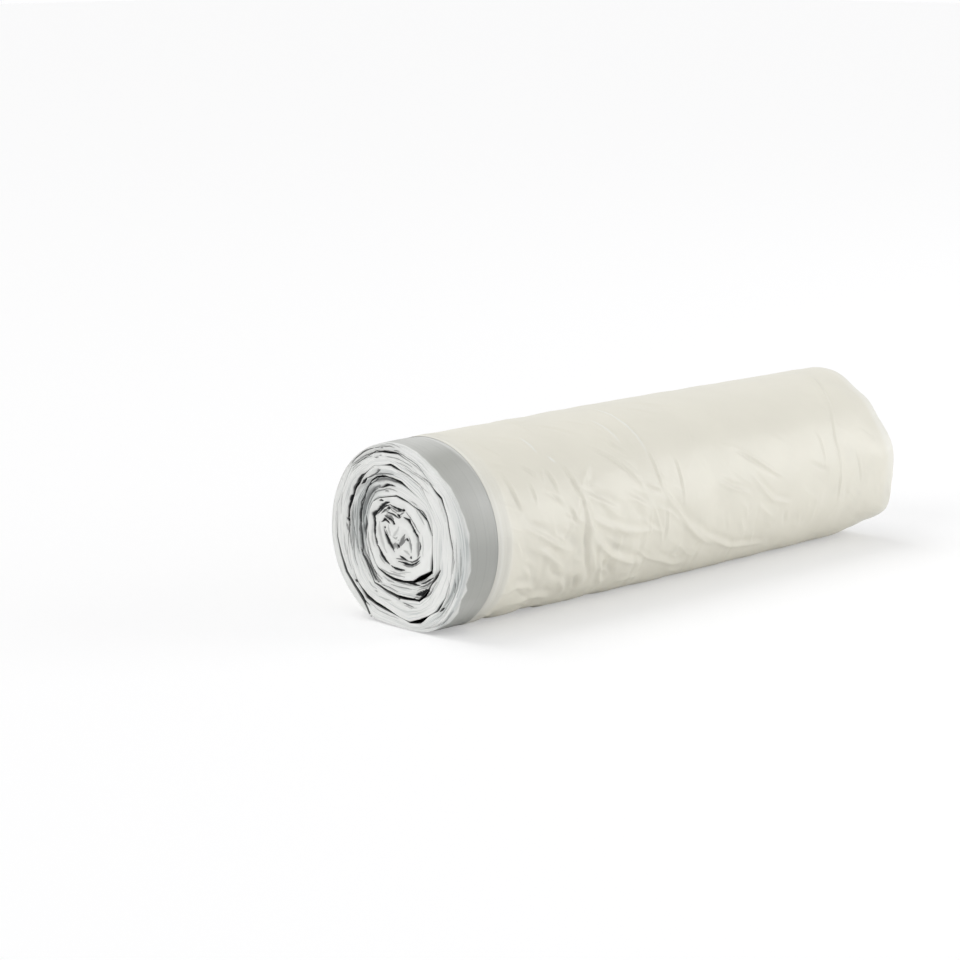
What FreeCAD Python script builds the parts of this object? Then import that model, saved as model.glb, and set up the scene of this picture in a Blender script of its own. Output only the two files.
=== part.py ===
"""A coreless roll of drawstring pail bags: a stack of folded film bags wound into one soft roll.

Units are millimetres. X runs along the roll, with the hemmed end at -X. Z is up, and Z = 0 is the
surface that the roll lies on. The origin is on that surface, below the middle of the roll.
Angles round the roll are counted from the top, clockwise as seen from the hemmed end, and the gap
between the turns is followed inwards that way from the free edge, through several turns.

Sub-parts:
  rolled_bags  the wound stack of bags, one solid. One long gap parts its turns, from the free edge
               tucked under the roll to the folded heart. Its bottom is pressed flat.
  draw_tape    the tape in the hem of the outermost bag, a band flush with the film's outer face.
"""
import FreeCAD
import Part
import Sketcher

import math
import os

from FreeCAD import Vector

DRIVING_SIZES = {
    "roll_length": 232.0,         # a bag 27 3/8 in tall, folded in three
    "outer_radius": 33.25,        # the round of the outermost turn
    "rest_width": 18.0,           # the flat that the roll lies on
    "rest_blend": 19.0,           # the soft corner between that flat and the round
    "end_round": 1.0,             # how far the folded edges round over at both ends
    "hem_lip": 1.2,               # film that stands past the tape at the hemmed end
    "tape_width": 14.5,
    "tape_thickness": 0.3,
    "turn_pitch": 5.6,            # the thickness of the stack of bags, as it is wound
    "gap_width": 0.35,            # the gap between two turns where they lie close
    "gap_spread": 0.9,            # how much wider the gap gets where it opens
    "first_depth": 1.2,           # the stack's thickness at its free edge
    "heart_lift": 1.6,            # how far the heart sits off the centre of the round
    "waviness": 0.4,              # how unevenly the turns are wound
    "slit_width": 0.9,            # the slits between the folds of the heart
    "crease_radius": 3.2,         # the round of a crease in the outer film
    "crease_rise": 0.4,           # how far a crease stands above the film
    "free_edge_angle": 206.0,     # where the free edge lies, just past the flat
    "gap_end_angle": 1750.0,      # where the gap ends, beside the heart
    "heart_lift_angle": 330.0,
}

GAP_STEP = 27.0          # degrees between the points of a wall of the gap
FREE_EDGE_LEAN = 6.0     # degrees over which the gap opens outwards at the free edge
PRESSED_SHARE = 0.18     # how much less each turn inwards is pressed flat than the one round it
THIN_LIP = 0.3           # the most of a turn's thickness that its rounded lip takes
OVERRUN = 1.0            # how far a cutting solid reaches past what it cuts

# The rounding of a turn's lip, in end rounds: how deep, and how far back from the gap, at each step.
LIP_STEPS = ((0.0, 0.75), (1.0, 0.0))

# Where the gap opens: the angle along the winding, the stretch it takes, and its share of gap_spread.
OPENINGS = (
    (305.0, 40.0, 0.4),
    (520.0, 16.0, 0.9),
    (568.0, 22.0, 0.8),
    (660.0, 26.0, 0.9),
    (860.0, 18.0, 1.5),
    (905.0, 26.0, 0.7),
    (1040.0, 30.0, 0.9),
    (1205.0, 26.0, 1.9),
    (1265.0, 24.0, 0.7),
    (1450.0, 18.0, 0.9),
    (1660.0, 30.0, 0.6),
    (1740.0, 22.0, 0.9),
)

# The slits of the heart: the share of slit_width, and a route of points (across to the right as seen
# from the hemmed end, up), as shares of the heart's radius.
HEART_SLITS = {
    "left_slit": (0.9, ((-0.54, 0.15), (-0.46, -0.13), (-0.29, -0.39), (-0.07, -0.50))),
    "top_slit": (1.4, ((-0.52, 0.62), (-0.29, 0.61), (-0.04, 0.44))),
    "right_slit": (1.3, ((0.10, -0.30), (0.25, -0.13), (0.42, 0.12))),
    "tail_slit": (0.8, ((0.64, 0.12), (0.70, -0.14), (0.62, -0.40))),
}

# The larger creases of the outer film, each part of a helix: where it starts and ends, as shares of the
# roll's length from its middle and angles round the roll.
CREASES = {
    "long_fold": ((-0.165, 76.0), (0.150, 128.0)),
    "ring_fold": ((-0.084, 24.0), (-0.072, 82.0)),
    "far_ring_fold": ((0.352, 66.0), (0.362, 108.0)),
    "steep_fold": ((-0.255, 64.0), (-0.222, 112.0)),
    "middle_fold": ((-0.225, 88.0), (-0.090, 127.0)),
    "short_fold": ((0.112, 62.0), (0.200, 88.0)),
}


def make_sheet(doc):
    """The spreadsheet of driving sizes."""
    sheet = doc.addObject("Spreadsheet::Sheet", "sizes")
    for row, (alias, value) in enumerate(DRIVING_SIZES.items(), start=1):
        sheet.set(f"A{row}", alias)
        sheet.set(f"B{row}", str(value))
        sheet.setAlias(f"B{row}", alias)
    doc.recompute()
    return sheet


def outline_body(doc, name, inset, length, start):
    """A body padded from the roll's outline, drawn in by inset. Its sizes are sheet expressions."""
    body = doc.addObject("PartDesign::Body", name)
    plane = next(f for f in body.Origin.OriginFeatures if f.Role == "YZ_Plane")
    sketch = body.newObject("Sketcher::SketchObject", name + "_outline")
    sketch.AttachmentSupport = (plane, "")
    sketch.MapMode = "FlatFace"

    # A first drawing near the right sizes, for the constraints to settle.
    radius, blend = DRIVING_SIZES["outer_radius"], DRIVING_SIZES["rest_blend"]
    half = DRIVING_SIZES["rest_width"] / 2
    rise = math.sqrt((radius - blend) ** 2 - half**2)
    lean = math.atan2(rise, half)
    normal = Vector(0, 0, 1)
    flat = sketch.addGeometry(Part.LineSegment(Vector(-half, 0, 0), Vector(half, 0, 0)), False)
    right_circle = Part.Circle(Vector(half, blend, 0), normal, blend)
    right = sketch.addGeometry(Part.ArcOfCircle(right_circle, -math.pi / 2, -lean), False)
    round_circle = Part.Circle(Vector(0, blend + rise, 0), normal, radius)
    top = sketch.addGeometry(Part.ArcOfCircle(round_circle, -lean, math.pi + lean), False)
    left_circle = Part.Circle(Vector(-half, blend, 0), normal, blend)
    left = sketch.addGeometry(Part.ArcOfCircle(left_circle, math.pi + lean, 1.5 * math.pi), False)

    starts, ends, centre, upright_axis, origin = 1, 2, 3, -2, -1
    rule = Sketcher.Constraint
    sketch.addConstraint([
        rule("Tangent", flat, ends, right, starts),
        rule("Tangent", right, ends, top, starts),
        rule("Tangent", top, ends, left, starts),
        rule("Tangent", left, ends, flat, starts),
        rule("Equal", right, left),
        rule("PointOnObject", top, centre, upright_axis),
        rule("Horizontal", flat),
    ])
    for label, made, expression in (
        ("round", rule("Radius", top, radius), f"sizes.outer_radius - {inset}"),
        ("blend", rule("Radius", right, blend), f"sizes.rest_blend - {inset}"),
        ("flat", rule("DistanceX", flat, starts, flat, ends, 2 * half), "sizes.rest_width"),
        ("base", rule("DistanceY", origin, starts, flat, starts, 0.0), inset),
    ):
        sketch.renameConstraint(sketch.addConstraint(made), label)
        sketch.setExpression(f"Constraints.{label}", expression)

    pad = body.newObject("PartDesign::Pad", name + "_pad")
    pad.Profile = sketch
    pad.setExpression("Length", length)
    body.setExpression("Placement.Base.x", start)
    return body


def round_ends(doc, body):
    """Bevels the rims of a padded outline, as the folded film rounds over at both ends."""
    doc.recompute()
    pad = body.Tip
    rims = [f"Edge{i}" for i, edge in enumerate(pad.Shape.Edges, start=1) if edge.BoundBox.XLength < 1e-6]
    bevel = body.newObject("PartDesign::Chamfer", body.Name + "_rims")
    bevel.Base = (pad, rims)
    bevel.ChamferType = "Two distances"
    bevel.setExpression("Size", "sizes.end_round")
    bevel.setExpression("Size2", "sizes.end_round * 0.75")
    body.Tip = bevel


class Winding:
    """How the stack is wound: the path and the width of the gap between its turns."""

    def __init__(self, sizes):
        """Keeps the sheet, and finds the height of the round's centre and the heart's radius."""
        self.sizes = sizes
        self.half_flat = sizes.rest_width / 2
        rise = math.sqrt((sizes.outer_radius - sizes.rest_blend) ** 2 - self.half_flat**2)
        self.centre_up = sizes.rest_blend + rise
        last_turns = (sizes.gap_end_angle - sizes.free_edge_angle) / 360.0 - 0.5
        self.heart_radius = sizes.outer_radius - sizes.first_depth - sizes.turn_pitch * last_turns

    def outline_radius(self, angle):
        """How far the outline is from the round's centre in the direction of angle."""
        turned = math.radians(angle)
        across, down = abs(math.sin(turned)), -math.cos(turned)
        corner_down = self.centre_up - self.sizes.rest_blend
        if down > 0 and across / down <= self.half_flat / self.centre_up:
            return self.centre_up / down
        if down > 0 and across / down < self.half_flat / corner_down:
            along = self.half_flat * across + corner_down * down
            off_axis = self.half_flat**2 + corner_down**2 - along**2
            return along + math.sqrt(self.sizes.rest_blend**2 - off_axis)
        return self.sizes.outer_radius

    def gap_radius(self, angle):
        """How far the middle of the gap is from the round's centre, at an angle along the winding."""
        sizes = self.sizes
        turns = (angle - sizes.free_edge_angle) / 360.0
        settled = min(1.0, turns)
        pressed = (sizes.outer_radius - self.outline_radius(angle)) * (1.0 - PRESSED_SHARE * turns)
        lift = sizes.heart_lift * math.cos(math.radians(angle - sizes.heart_lift_angle))
        slow, fast = math.radians(2.6 * angle), math.radians(3.3 * angle + 50.0)
        wave = sizes.waviness * (math.sin(slow) + 0.6 * math.sin(fast))
        depth = sizes.first_depth + sizes.turn_pitch * turns
        return sizes.outer_radius - pressed - depth + settled * (lift + wave)

    def half_gap(self, angle):
        """Half of the gap's width at an angle along the winding."""
        wide = self.sizes.gap_width
        for middle, stretch, share in OPENINGS:
            wide += self.sizes.gap_spread * share * math.exp(-(((angle - middle) / stretch) ** 2))
        return wide / 2.0

    def point(self, angle, radius):
        """The point at an angle and a radius round the round's centre, in the plane X = 0."""
        turned = math.radians(angle)
        return Vector(0.0, -radius * math.sin(turned), self.centre_up + radius * math.cos(turned))

    def wall(self, radius_at, last_angle):
        """Points from the free edge to last_angle, at the radius that radius_at gives for each angle."""
        first_angle = self.sizes.free_edge_angle
        steps = max(2, round((last_angle - first_angle) / GAP_STEP))
        angles = [first_angle + (last_angle - first_angle) * i / steps for i in range(steps + 1)]
        return [self.point(angle, radius_at(angle)) for angle in angles]

    def mouth_corners(self, spread=0.0):
        """The free edge's two sides past the outline, and the seat that the free edge lies on.

        They are a point straight out from the free edge, a point up the slope beside it, and the
        first point of the gap's inner wall.
        """
        first = self.sizes.free_edge_angle
        outside = self.sizes.outer_radius + self.sizes.turn_pitch
        return [
            self.point(first, outside),
            self.point(first - FREE_EDGE_LEAN, outside),
            self.point(first, self.gap_radius(first) - self.lip(first, spread)),
        ]

    def lip(self, angle, spread):
        """How far a wall is from the gap's middle, moved out by spread where the turn allows it."""
        sizes = self.sizes
        turns = (angle - sizes.free_edge_angle) / 360.0
        turn_thickness = min(sizes.turn_pitch, sizes.first_depth + sizes.turn_pitch * turns)
        return self.half_gap(angle) + min(spread, THIN_LIP * turn_thickness)

    def gap_wire(self, spread):
        """The closed outline of the gap, with each wall moved out by spread."""
        last = self.sizes.gap_end_angle
        inner = self.wall(lambda angle: self.gap_radius(angle) - self.lip(angle, spread), last)
        outer = self.wall(lambda angle: self.gap_radius(angle) + self.lip(angle, spread), last)
        tip_angle = last + math.degrees(self.lip(last, spread) / self.gap_radius(last))
        tip = self.point(tip_angle, self.gap_radius(last))
        corners = [outer[0], *self.mouth_corners(spread)]
        return Part.Wire([
            curve(inner),
            Part.Arc(inner[-1], tip, outer[-1]).toShape(),
            curve(outer[::-1]),
            *(Part.LineSegment(a, b).toShape() for a, b in zip(corners, corners[1:])),
        ])


def curve(points):
    """A smooth edge through points."""
    spline = Part.BSplineCurve()
    spline.interpolate(points)
    return spline.toShape()


def prism(wire, start, length):
    """The solid that a closed wire in the plane X = 0 sweeps along X, from X = start."""
    face = Part.Face(wire)
    face.translate(Vector(start, 0, 0))
    return face.extrude(Vector(length, 0, 0))


def feature(doc, name, shape):
    """A Part::Feature that holds a shape worked out from the sheet."""
    made = doc.addObject("Part::Feature", name)
    made.Shape = shape
    return made


def gap_solid(winding):
    """The gap between the turns, right through the roll, with the turns' lips rounded at both ends."""
    sizes = winding.sizes
    end = sizes.roll_length / 2
    hemmed = [(depth * sizes.end_round - end, spread) for depth, spread in LIP_STEPS]
    folded = [(-place, spread) for place, spread in reversed(hemmed)]
    sections = []
    for place, spread in hemmed + folded:
        wire = winding.gap_wire(spread * sizes.end_round)
        wire.translate(Vector(place, 0, 0))
        sections.append(wire)
    return Part.makeLoft(sections, True, True)


def free_edge_notch_solid(winding):
    """The mouth of the gap, where the tape's two ends part at the free edge."""
    sizes = winding.sizes
    first = sizes.free_edge_angle
    corners = [winding.point(first, winding.gap_radius(first)), *winding.mouth_corners()]
    notch = Part.Wire(Part.makePolygon([*corners, corners[0]]))
    return prism(notch, -sizes.roll_length / 2, sizes.hem_lip + sizes.tape_width + OVERRUN)


def heart_slit_solid(winding, width_share, route):
    """A slit between two folds of the heart, widest at its middle, right through the roll."""
    sizes = winding.sizes
    heart = winding.point(sizes.heart_lift_angle, sizes.heart_lift)
    middle_line = Part.BSplineCurve()
    middle_line.interpolate([
        heart + Vector(0, -across, up) * winding.heart_radius for across, up in route
    ])
    first, last = middle_line.FirstParameter, middle_line.LastParameter
    pieces = 6
    left, right = [middle_line.value(first)], [middle_line.value(first)]
    for i in range(1, pieces):
        at = first + (last - first) * i / pieces
        along = middle_line.tangent(at)[0]
        aside = Vector(0, -along.z, along.y)
        half = sizes.slit_width * width_share / 2 * math.sin(math.pi * i / pieces)
        left.append(middle_line.value(at) + aside * half)
        right.append(middle_line.value(at) - aside * half)
    left.append(middle_line.value(last))
    right.append(middle_line.value(last))
    length = sizes.roll_length + 2 * OVERRUN
    return prism(Part.Wire([curve(left), curve(right[::-1])]), -length / 2, length)


def crease_solid(winding, start, end):
    """A crease of the outer film: a round rod along part of a helix, sunk in the film, most at its ends."""
    sizes = winding.sizes
    (start_share, start_angle), (end_share, end_angle) = start, end
    pieces = max(4, round(abs(end_angle - start_angle) / 8.0))
    route = []
    for i in range(pieces + 1):
        share = i / pieces
        rise = sizes.crease_rise * (1.5 * math.sin(math.pi * share) - 0.5)
        radius = sizes.outer_radius - sizes.crease_radius + rise
        place = winding.point(start_angle + (end_angle - start_angle) * share, radius)
        place.x = sizes.roll_length * (start_share + (end_share - start_share) * share)
        route.append(place)
    path = curve(route)
    along = (route[1] - route[0]).normalize()
    profile = Part.Wire([Part.Circle(route[0], along, sizes.crease_radius).toShape()])
    return Part.Wire([path]).makePipeShell([profile], True, False)


def cut(doc, name, base, tool):
    """base with tool taken away."""
    made = doc.addObject("Part::Cut", name)
    made.Base = base
    made.Tool = tool
    return made


def build_rolled_bags(doc, winding, blank, band):
    """The wound stack: the creased outline less the room of the tape, the gap and the heart's slits."""
    creased = doc.addObject("Part::MultiFuse", "creased_blank")
    creased.Shapes = [blank] + [
        feature(doc, name, crease_solid(winding, *ends)) for name, ends in CREASES.items()
    ]
    tools = [
        band,
        feature(doc, "turn_gap", gap_solid(winding)),
        *(
            feature(doc, name, heart_slit_solid(winding, width_share, route))
            for name, (width_share, route) in HEART_SLITS.items()
        ),
    ]
    stack = creased
    for tool in tools:
        stack = cut(doc, f"less_{tool.Name}", stack, tool)
    stack.Label = "rolled_bags"
    return stack


def write_parts(doc, sub_parts):
    """Checks the document and writes each sub-part to parts/LABEL.step."""
    failed = [o.Name for o in doc.Objects if "Invalid" in o.State or "Error" in o.State]
    if failed:
        raise RuntimeError(f"these objects failed: {failed}")
    os.makedirs("parts", exist_ok=True)
    for sub_part in sub_parts:
        shape = sub_part.Shape
        if shape.isNull() or not shape.isValid() or not shape.Solids:
            raise RuntimeError(f"{sub_part.Label} has no valid solid")
        shape.exportStep(os.path.join("parts", sub_part.Label + ".step"))
        box = shape.BoundBox
        print(f"{sub_part.Label}: {len(shape.Solids)} solid, {len(shape.Faces)} faces,"
              f" {shape.Volume:.1f} mm3, {box.XLength:.2f} x {box.YLength:.2f} x {box.ZLength:.2f} mm")


def main():
    """Builds the roll and writes its sub-parts."""
    doc = FreeCAD.newDocument("bag_roll")
    sizes = make_sheet(doc)
    blank = outline_body(doc, "roll_blank", "0", "sizes.roll_length", "-sizes.roll_length / 2")
    round_ends(doc, blank)
    tape_start = "-sizes.roll_length / 2 + sizes.hem_lip"
    outline = outline_body(doc, "tape_outline", "0", "sizes.tape_width", tape_start)
    bed = outline_body(doc, "tape_bed", "sizes.tape_thickness", "sizes.tape_width", tape_start)
    band = cut(doc, "tape_band", outline, bed)
    winding = Winding(sizes)
    rolled_bags = build_rolled_bags(doc, winding, blank, band)
    notch = feature(doc, "free_edge_notch", free_edge_notch_solid(winding))
    draw_tape = cut(doc, "tape_turn", band, notch)
    draw_tape.Label = "draw_tape"
    doc.recompute()
    write_parts(doc, [rolled_bags, draw_tape])


main()
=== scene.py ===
"""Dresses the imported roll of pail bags: its creased film, draw tape, wound ends, light and camera.

Lengths are millimetres until a mesh is made, which is in metres. Angles are degrees round the roll from
the top, clockwise as seen from the hemmed end at -X. An angle along the winding goes on counting past
360 as the turns go inwards from the free edge under the roll. Places on an end are counted across to the
right, as seen from the hemmed end, and up from the round's centre.
"""

import logging
import math
from dataclasses import dataclass
from enum import Enum

import bpy
import numpy as np
from mathutils import Matrix, Vector

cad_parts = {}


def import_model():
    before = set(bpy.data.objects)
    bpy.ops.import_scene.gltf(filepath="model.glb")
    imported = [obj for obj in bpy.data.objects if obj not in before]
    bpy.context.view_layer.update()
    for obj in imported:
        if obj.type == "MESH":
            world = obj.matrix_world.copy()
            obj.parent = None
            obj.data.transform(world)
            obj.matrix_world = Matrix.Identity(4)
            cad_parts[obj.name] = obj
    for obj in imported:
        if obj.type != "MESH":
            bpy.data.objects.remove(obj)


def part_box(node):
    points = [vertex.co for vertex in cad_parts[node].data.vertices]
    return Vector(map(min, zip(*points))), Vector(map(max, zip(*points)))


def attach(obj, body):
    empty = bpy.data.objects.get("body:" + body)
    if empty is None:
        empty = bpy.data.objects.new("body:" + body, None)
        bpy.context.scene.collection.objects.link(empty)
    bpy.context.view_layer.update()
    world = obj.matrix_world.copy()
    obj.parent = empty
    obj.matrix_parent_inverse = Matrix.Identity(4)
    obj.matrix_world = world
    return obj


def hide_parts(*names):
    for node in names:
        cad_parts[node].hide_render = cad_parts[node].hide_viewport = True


LOG = logging.getLogger("bag_roll")
MM = 0.001

# Short names for the types that come up most.
Array = np.ndarray
Random = np.random.Generator
Piece = bpy.types.Object


class End(Enum):
    """The two ends of the roll, by the direction that each faces along X."""

    HEMMED = -1
    FOLDED = 1


class Slot(Enum):
    """The record's material slots."""

    FILM = "bag_film"
    TAPE = "tape_film"


# ---------------- helpers


def kinked(at: Array, step: float, rng: Random) -> Array:
    """Piecewise straight noise, as stiff film bends: from -1 to 1, with corners about step apart.

    Args:
        at: Where to read the noise.
        step: The usual distance between two corners.
        rng: The source of the random corners.

    Returns:
        The noise at each place.
    """
    low, high = float(np.min(at)) - step, float(np.max(at)) + step
    count = max(3, int((high - low) / step) + 2)
    knots = np.linspace(low, high, count)
    knots[1:-1] += rng.uniform(-0.35, 0.35, count - 2) * step
    return np.interp(at, knots, rng.uniform(-1.0, 1.0, count))


def eased(at: Array, step: float, rng: Random) -> Array:
    """Smooth noise from -1 to 1 that changes over about step.

    Args:
        at: Where to read the noise.
        step: The distance between two random values.
        rng: The source of the random values.

    Returns:
        The noise at each place.
    """
    low = float(np.min(at))
    place = (at - low) / step
    count = int(np.max(place)) + 3
    values = rng.uniform(-1.0, 1.0, count)
    index = np.floor(place).astype(int)
    share = place - index
    share = share * share * (3.0 - 2.0 * share)
    return values[index] * (1.0 - share) + values[index + 1] * share


def unsteady(at: Array, smooth: tuple[float, float], sharp: tuple[float, float], rng: Random) -> Array:
    """Smooth noise and piecewise straight noise together.

    Args:
        at: Where to read the noise.
        smooth: The height and the step of the smooth noise.
        sharp: The height and the step of the piecewise straight noise.
        rng: The source of random numbers.

    Returns:
        The noise at each place.
    """
    return smooth[0] * eased(at, smooth[1], rng) + sharp[0] * kinked(at, sharp[1], rng)


def bump(at: Array, middle: float, stretch: float) -> Array:
    """A bell from 0 to 1 to 0 round middle.

    Args:
        at: Where to read the bell.
        middle: The place of its top.
        stretch: Half of its width.

    Returns:
        The bell at each place.
    """
    return np.exp(-(((at - middle) / stretch) ** 2))


def round_bump(angle: Array, middle: float, stretch: float) -> Array:
    """A bell round the roll, which doesn't break where the angle passes 360.

    Args:
        angle: The angles to read it at.
        middle: The angle of its top.
        stretch: Half of its width, in degrees.

    Returns:
        The bell at each angle.
    """
    return bump((angle - middle + 180.0) % 360.0, 180.0, stretch)


def bells(angle: Array, *each: tuple[float, float, float]) -> Array:
    """The sum of bells round the roll.

    Args:
        angle: The angles to read it at.
        *each: For each bell the angle of its top, half of its width, and its height.

    Returns:
        The sum at each angle.
    """
    return sum(height * round_bump(angle, middle, stretch) for middle, stretch, height in each)


def ramp(at: Array, start: float, end: float) -> Array:
    """A smooth step from 0 at start to 1 at end.

    Args:
        at: Where to read the step.
        start: Where it leaves 0.
        end: Where it reaches 1.

    Returns:
        The step at each place.
    """
    share = np.clip((at - start) / (end - start), 0.0, 1.0)
    return share * share * (3.0 - 2.0 * share)


def facets(x: Array, y: Array, size: float, rng: Random) -> Array:
    """The sharp ridges and flat facets of crumpled film, about from -1 to 1.

    Args:
        x: Places one way along the film.
        y: Places the other way.
        size: The usual width of a facet.
        rng: The source of random numbers.

    Returns:
        The relief at each place.
    """
    total = 0.0
    for _ in range(4):
        way = rng.normal(-0.6, 0.7)
        phase = rng.uniform(0.0, 1.0)
        width = size * rng.uniform(0.8, 1.3)
        wave = (x * math.cos(way) + y * math.sin(way)) / width + phase
        gate = 0.5 + 0.5 * np.sin((x * math.sin(way) - y * math.cos(way)) / (size * 2.3) + phase * 9.0)
        total = total + gate * (np.abs((wave % 1.0) - 0.5) * 2.0 - 0.5)
    return total


def run_of(line: Array) -> Array:
    """How far along a line each of its points is.

    Args:
        line: The line's points, rows by 2.

    Returns:
        The distance at each point.
    """
    return np.concatenate([[0.0], np.cumsum(np.linalg.norm(np.diff(line, axis=0), axis=1))])


def on_line(line: Array, run: Array, at: Array) -> Array:
    """Reads places between the points of a line.

    Args:
        line: The line's points, rows by 2.
        run: How far along each of them is.
        at: How far along the places to read are.

    Returns:
        The places, rows by 2.
    """
    return np.stack([np.interp(at, run, line[:, k]) for k in range(2)], axis=-1)


def beside(spots: Array, line: Array) -> tuple[Array, Array, Array]:
    """Measures how places lie beside a line of points.

    Args:
        spots: The places, in a last axis of 2.
        line: The line's points.

    Returns:
        For each place its distance from the line, the share of the line at its nearest point, and the
        same distance with a sign for the side that it lies on.
    """
    lengths = np.linalg.norm(np.diff(line, axis=0), axis=1)
    starts = np.concatenate([[0.0], np.cumsum(lengths)])
    best = np.full(spots.shape[:-1], np.inf)
    share, side = np.zeros_like(best), np.zeros_like(best)
    for k, (start, length) in enumerate(zip(line[:-1], lengths)):
        way = (line[k + 1] - start) / length
        offset = spots - start
        t = np.clip(offset @ way, 0.0, length)
        apart = np.linalg.norm(offset - t[..., None] * way, axis=-1)
        near = apart < best
        best = np.where(near, apart, best)
        share = np.where(near, (starts[k] + t) / starts[-1], share)
        turn = offset[..., 0] * way[1] - offset[..., 1] * way[0]
        side = np.where(near, np.sign(turn) * apart, side)
    return best, share, side


def grid_piece(name: str, points: Array, **tones: Array) -> Piece:
    """A mesh object whose faces join neighbouring points of a grid.

    Args:
        name: The piece's name.
        points: Rows by columns by 3, in millimetres.
        **tones: For each attribute that the materials read, a number for each point.

    Returns:
        The object, smooth shaded and linked to the scene.
    """
    rows, columns = points.shape[:2]
    corner = (np.arange(rows - 1)[:, None] * columns + np.arange(columns - 1)[None, :]).ravel()
    faces = np.stack([corner, corner + 1, corner + columns + 1, corner + columns], axis=1)
    mesh = bpy.data.meshes.new(name)
    mesh.vertices.add(rows * columns)
    mesh.vertices.foreach_set("co", (points.reshape(-1, 3) * MM).astype(np.float32).ravel())
    mesh.loops.add(faces.size)
    mesh.loops.foreach_set("vertex_index", faces.astype(np.int32).ravel())
    mesh.polygons.add(len(faces))
    mesh.polygons.foreach_set("loop_start", np.arange(0, faces.size, 4, dtype=np.int32))
    mesh.polygons.foreach_set("use_smooth", np.ones(len(faces), dtype=bool))
    mesh.update(calc_edges=True)
    for tone, values in tones.items():
        held = mesh.attributes.new(tone, "FLOAT", "POINT")
        held.data.foreach_set("value", values.astype(np.float32).ravel())
    mesh.validate()
    piece = bpy.data.objects.new(name, mesh)
    bpy.context.collection.objects.link(piece)
    return piece


def two_pieces(names: tuple[str, str], points: Array, **tones: Array) -> list[Piece]:
    """A grid in two pieces, each light enough to handle, which share the row that they meet at.

    Args:
        names: The pieces' names.
        points: Rows by columns by 3, in millimetres.
        **tones: For each attribute that the materials read, a number for each point.

    Returns:
        The pieces.
    """
    middle = len(points) // 2
    return [
        grid_piece(name, points[part], **{tone: values[part] for tone, values in tones.items()})
        for name, part in zip(names, (slice(0, middle + 1), slice(middle, None)))
    ]


def filled(node: bpy.types.Node, **values: float | tuple[float, ...]) -> bpy.types.Node:
    """Sets constants on a node's inputs.

    Args:
        node: The node.
        **values: The constants, each by its input's name with _ for a space.

    Returns:
        The node.
    """
    for name, value in values.items():
        node.inputs[name.replace("_", " ")].default_value = value
    return node


# ---------------- finishes

# How fine a finish's patches and its finest creases are, as scales of noise over metres.
PATCH_SCALE = 45.0
CRINKLE_SCALE = 420.0


@dataclass(frozen=True)
class Finish:
    """A film's look: its colours, gloss and fine crinkle.

    Attributes:
        name: The material's name.
        colour: The film's linear colour.
        hollow: Its colour where the attribute "hollow" is 1: painted shade in gaps, cracks and creases,
        and the grey of the tape's fine lines.
        tint: Its other colour, where the attribute "tint" is 1: painted shade on the ends, the whiter seal
        and painted highlights on the film, and white film and a painted highlight on the tape.
        roughness: How dull it is.
        mottle: How much its tone varies from patch to patch.
        crinkle: The depth of the finest creases, in millimetres.
        gloss: How strong its plain gloss is, where 0.5 is that of its index of refraction.
        coat: How strong its clear gloss is.
        stretch: How much the finest creases are drawn out round the roll.
    """

    name: str
    colour: tuple[float, float, float]
    hollow: tuple[float, float, float]
    tint: tuple[float, float, float]
    roughness: float = 0.4
    mottle: float = 0.05
    crinkle: float = 0.05
    gloss: float = 0.5
    coat: float = 0.15
    stretch: float = 0.0

    def material(self) -> bpy.types.Material:
        """Builds the node material.

        Returns:
            The material.
        """
        made = bpy.data.materials.new(self.name)
        made.use_nodes = True
        nodes, links = made.node_tree.nodes, made.node_tree.links
        shader = filled(
            nodes["Principled BSDF"], Roughness=self.roughness, IOR=1.5, Specular_IOR_Level=self.gloss,
            Coat_Weight=self.coat, Coat_Roughness=0.22,
        )
        where = nodes.new("ShaderNodeTexCoord")

        patches = filled(nodes.new("ShaderNodeTexNoise"), Scale=PATCH_SCALE, Detail=4.0)
        links.new(where.outputs["Object"], patches.inputs["Vector"])
        tone = filled(
            nodes.new("ShaderNodeMapRange"), From_Min=0.3, From_Max=0.7, To_Min=1.0 - self.mottle, To_Max=1.0
        )
        links.new(patches.outputs["Fac"], tone.inputs["Value"])

        mixed = None
        for attribute, colour in (("tint", self.tint), ("hollow", self.hollow)):
            read = nodes.new("ShaderNodeAttribute")
            read.attribute_name = attribute
            mix = nodes.new("ShaderNodeMix")
            mix.data_type = "RGBA"
            filled(mix, A=(*self.colour, 1.0), B=(*colour, 1.0))
            if mixed:
                links.new(mixed, mix.inputs["A"])
            links.new(read.outputs["Fac"], mix.inputs["Factor"])
            mixed = mix.outputs["Result"]
        toned = nodes.new("ShaderNodeVectorMath")
        toned.operation = "SCALE"
        links.new(mixed, toned.inputs[0])
        links.new(tone.outputs["Result"], toned.inputs["Scale"])
        links.new(toned.outputs["Vector"], shader.inputs["Base Color"])

        fine = filled(nodes.new("ShaderNodeTexNoise"), Scale=CRINKLE_SCALE, Detail=5.0, Distortion=0.6)
        along = filled(nodes.new("ShaderNodeMapping"), Scale=(1.0 + 3.0 * self.stretch, 1.0, 1.0))
        links.new(where.outputs["Object"], along.inputs["Vector"])
        links.new(along.outputs["Vector"], fine.inputs["Vector"])
        relief = filled(nodes.new("ShaderNodeBump"), Distance=self.crinkle * MM, Strength=1.0)
        links.new(fine.outputs["Fac"], relief.inputs["Height"])
        links.new(relief.outputs["Normal"], shader.inputs["Normal"])
        return made


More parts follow.
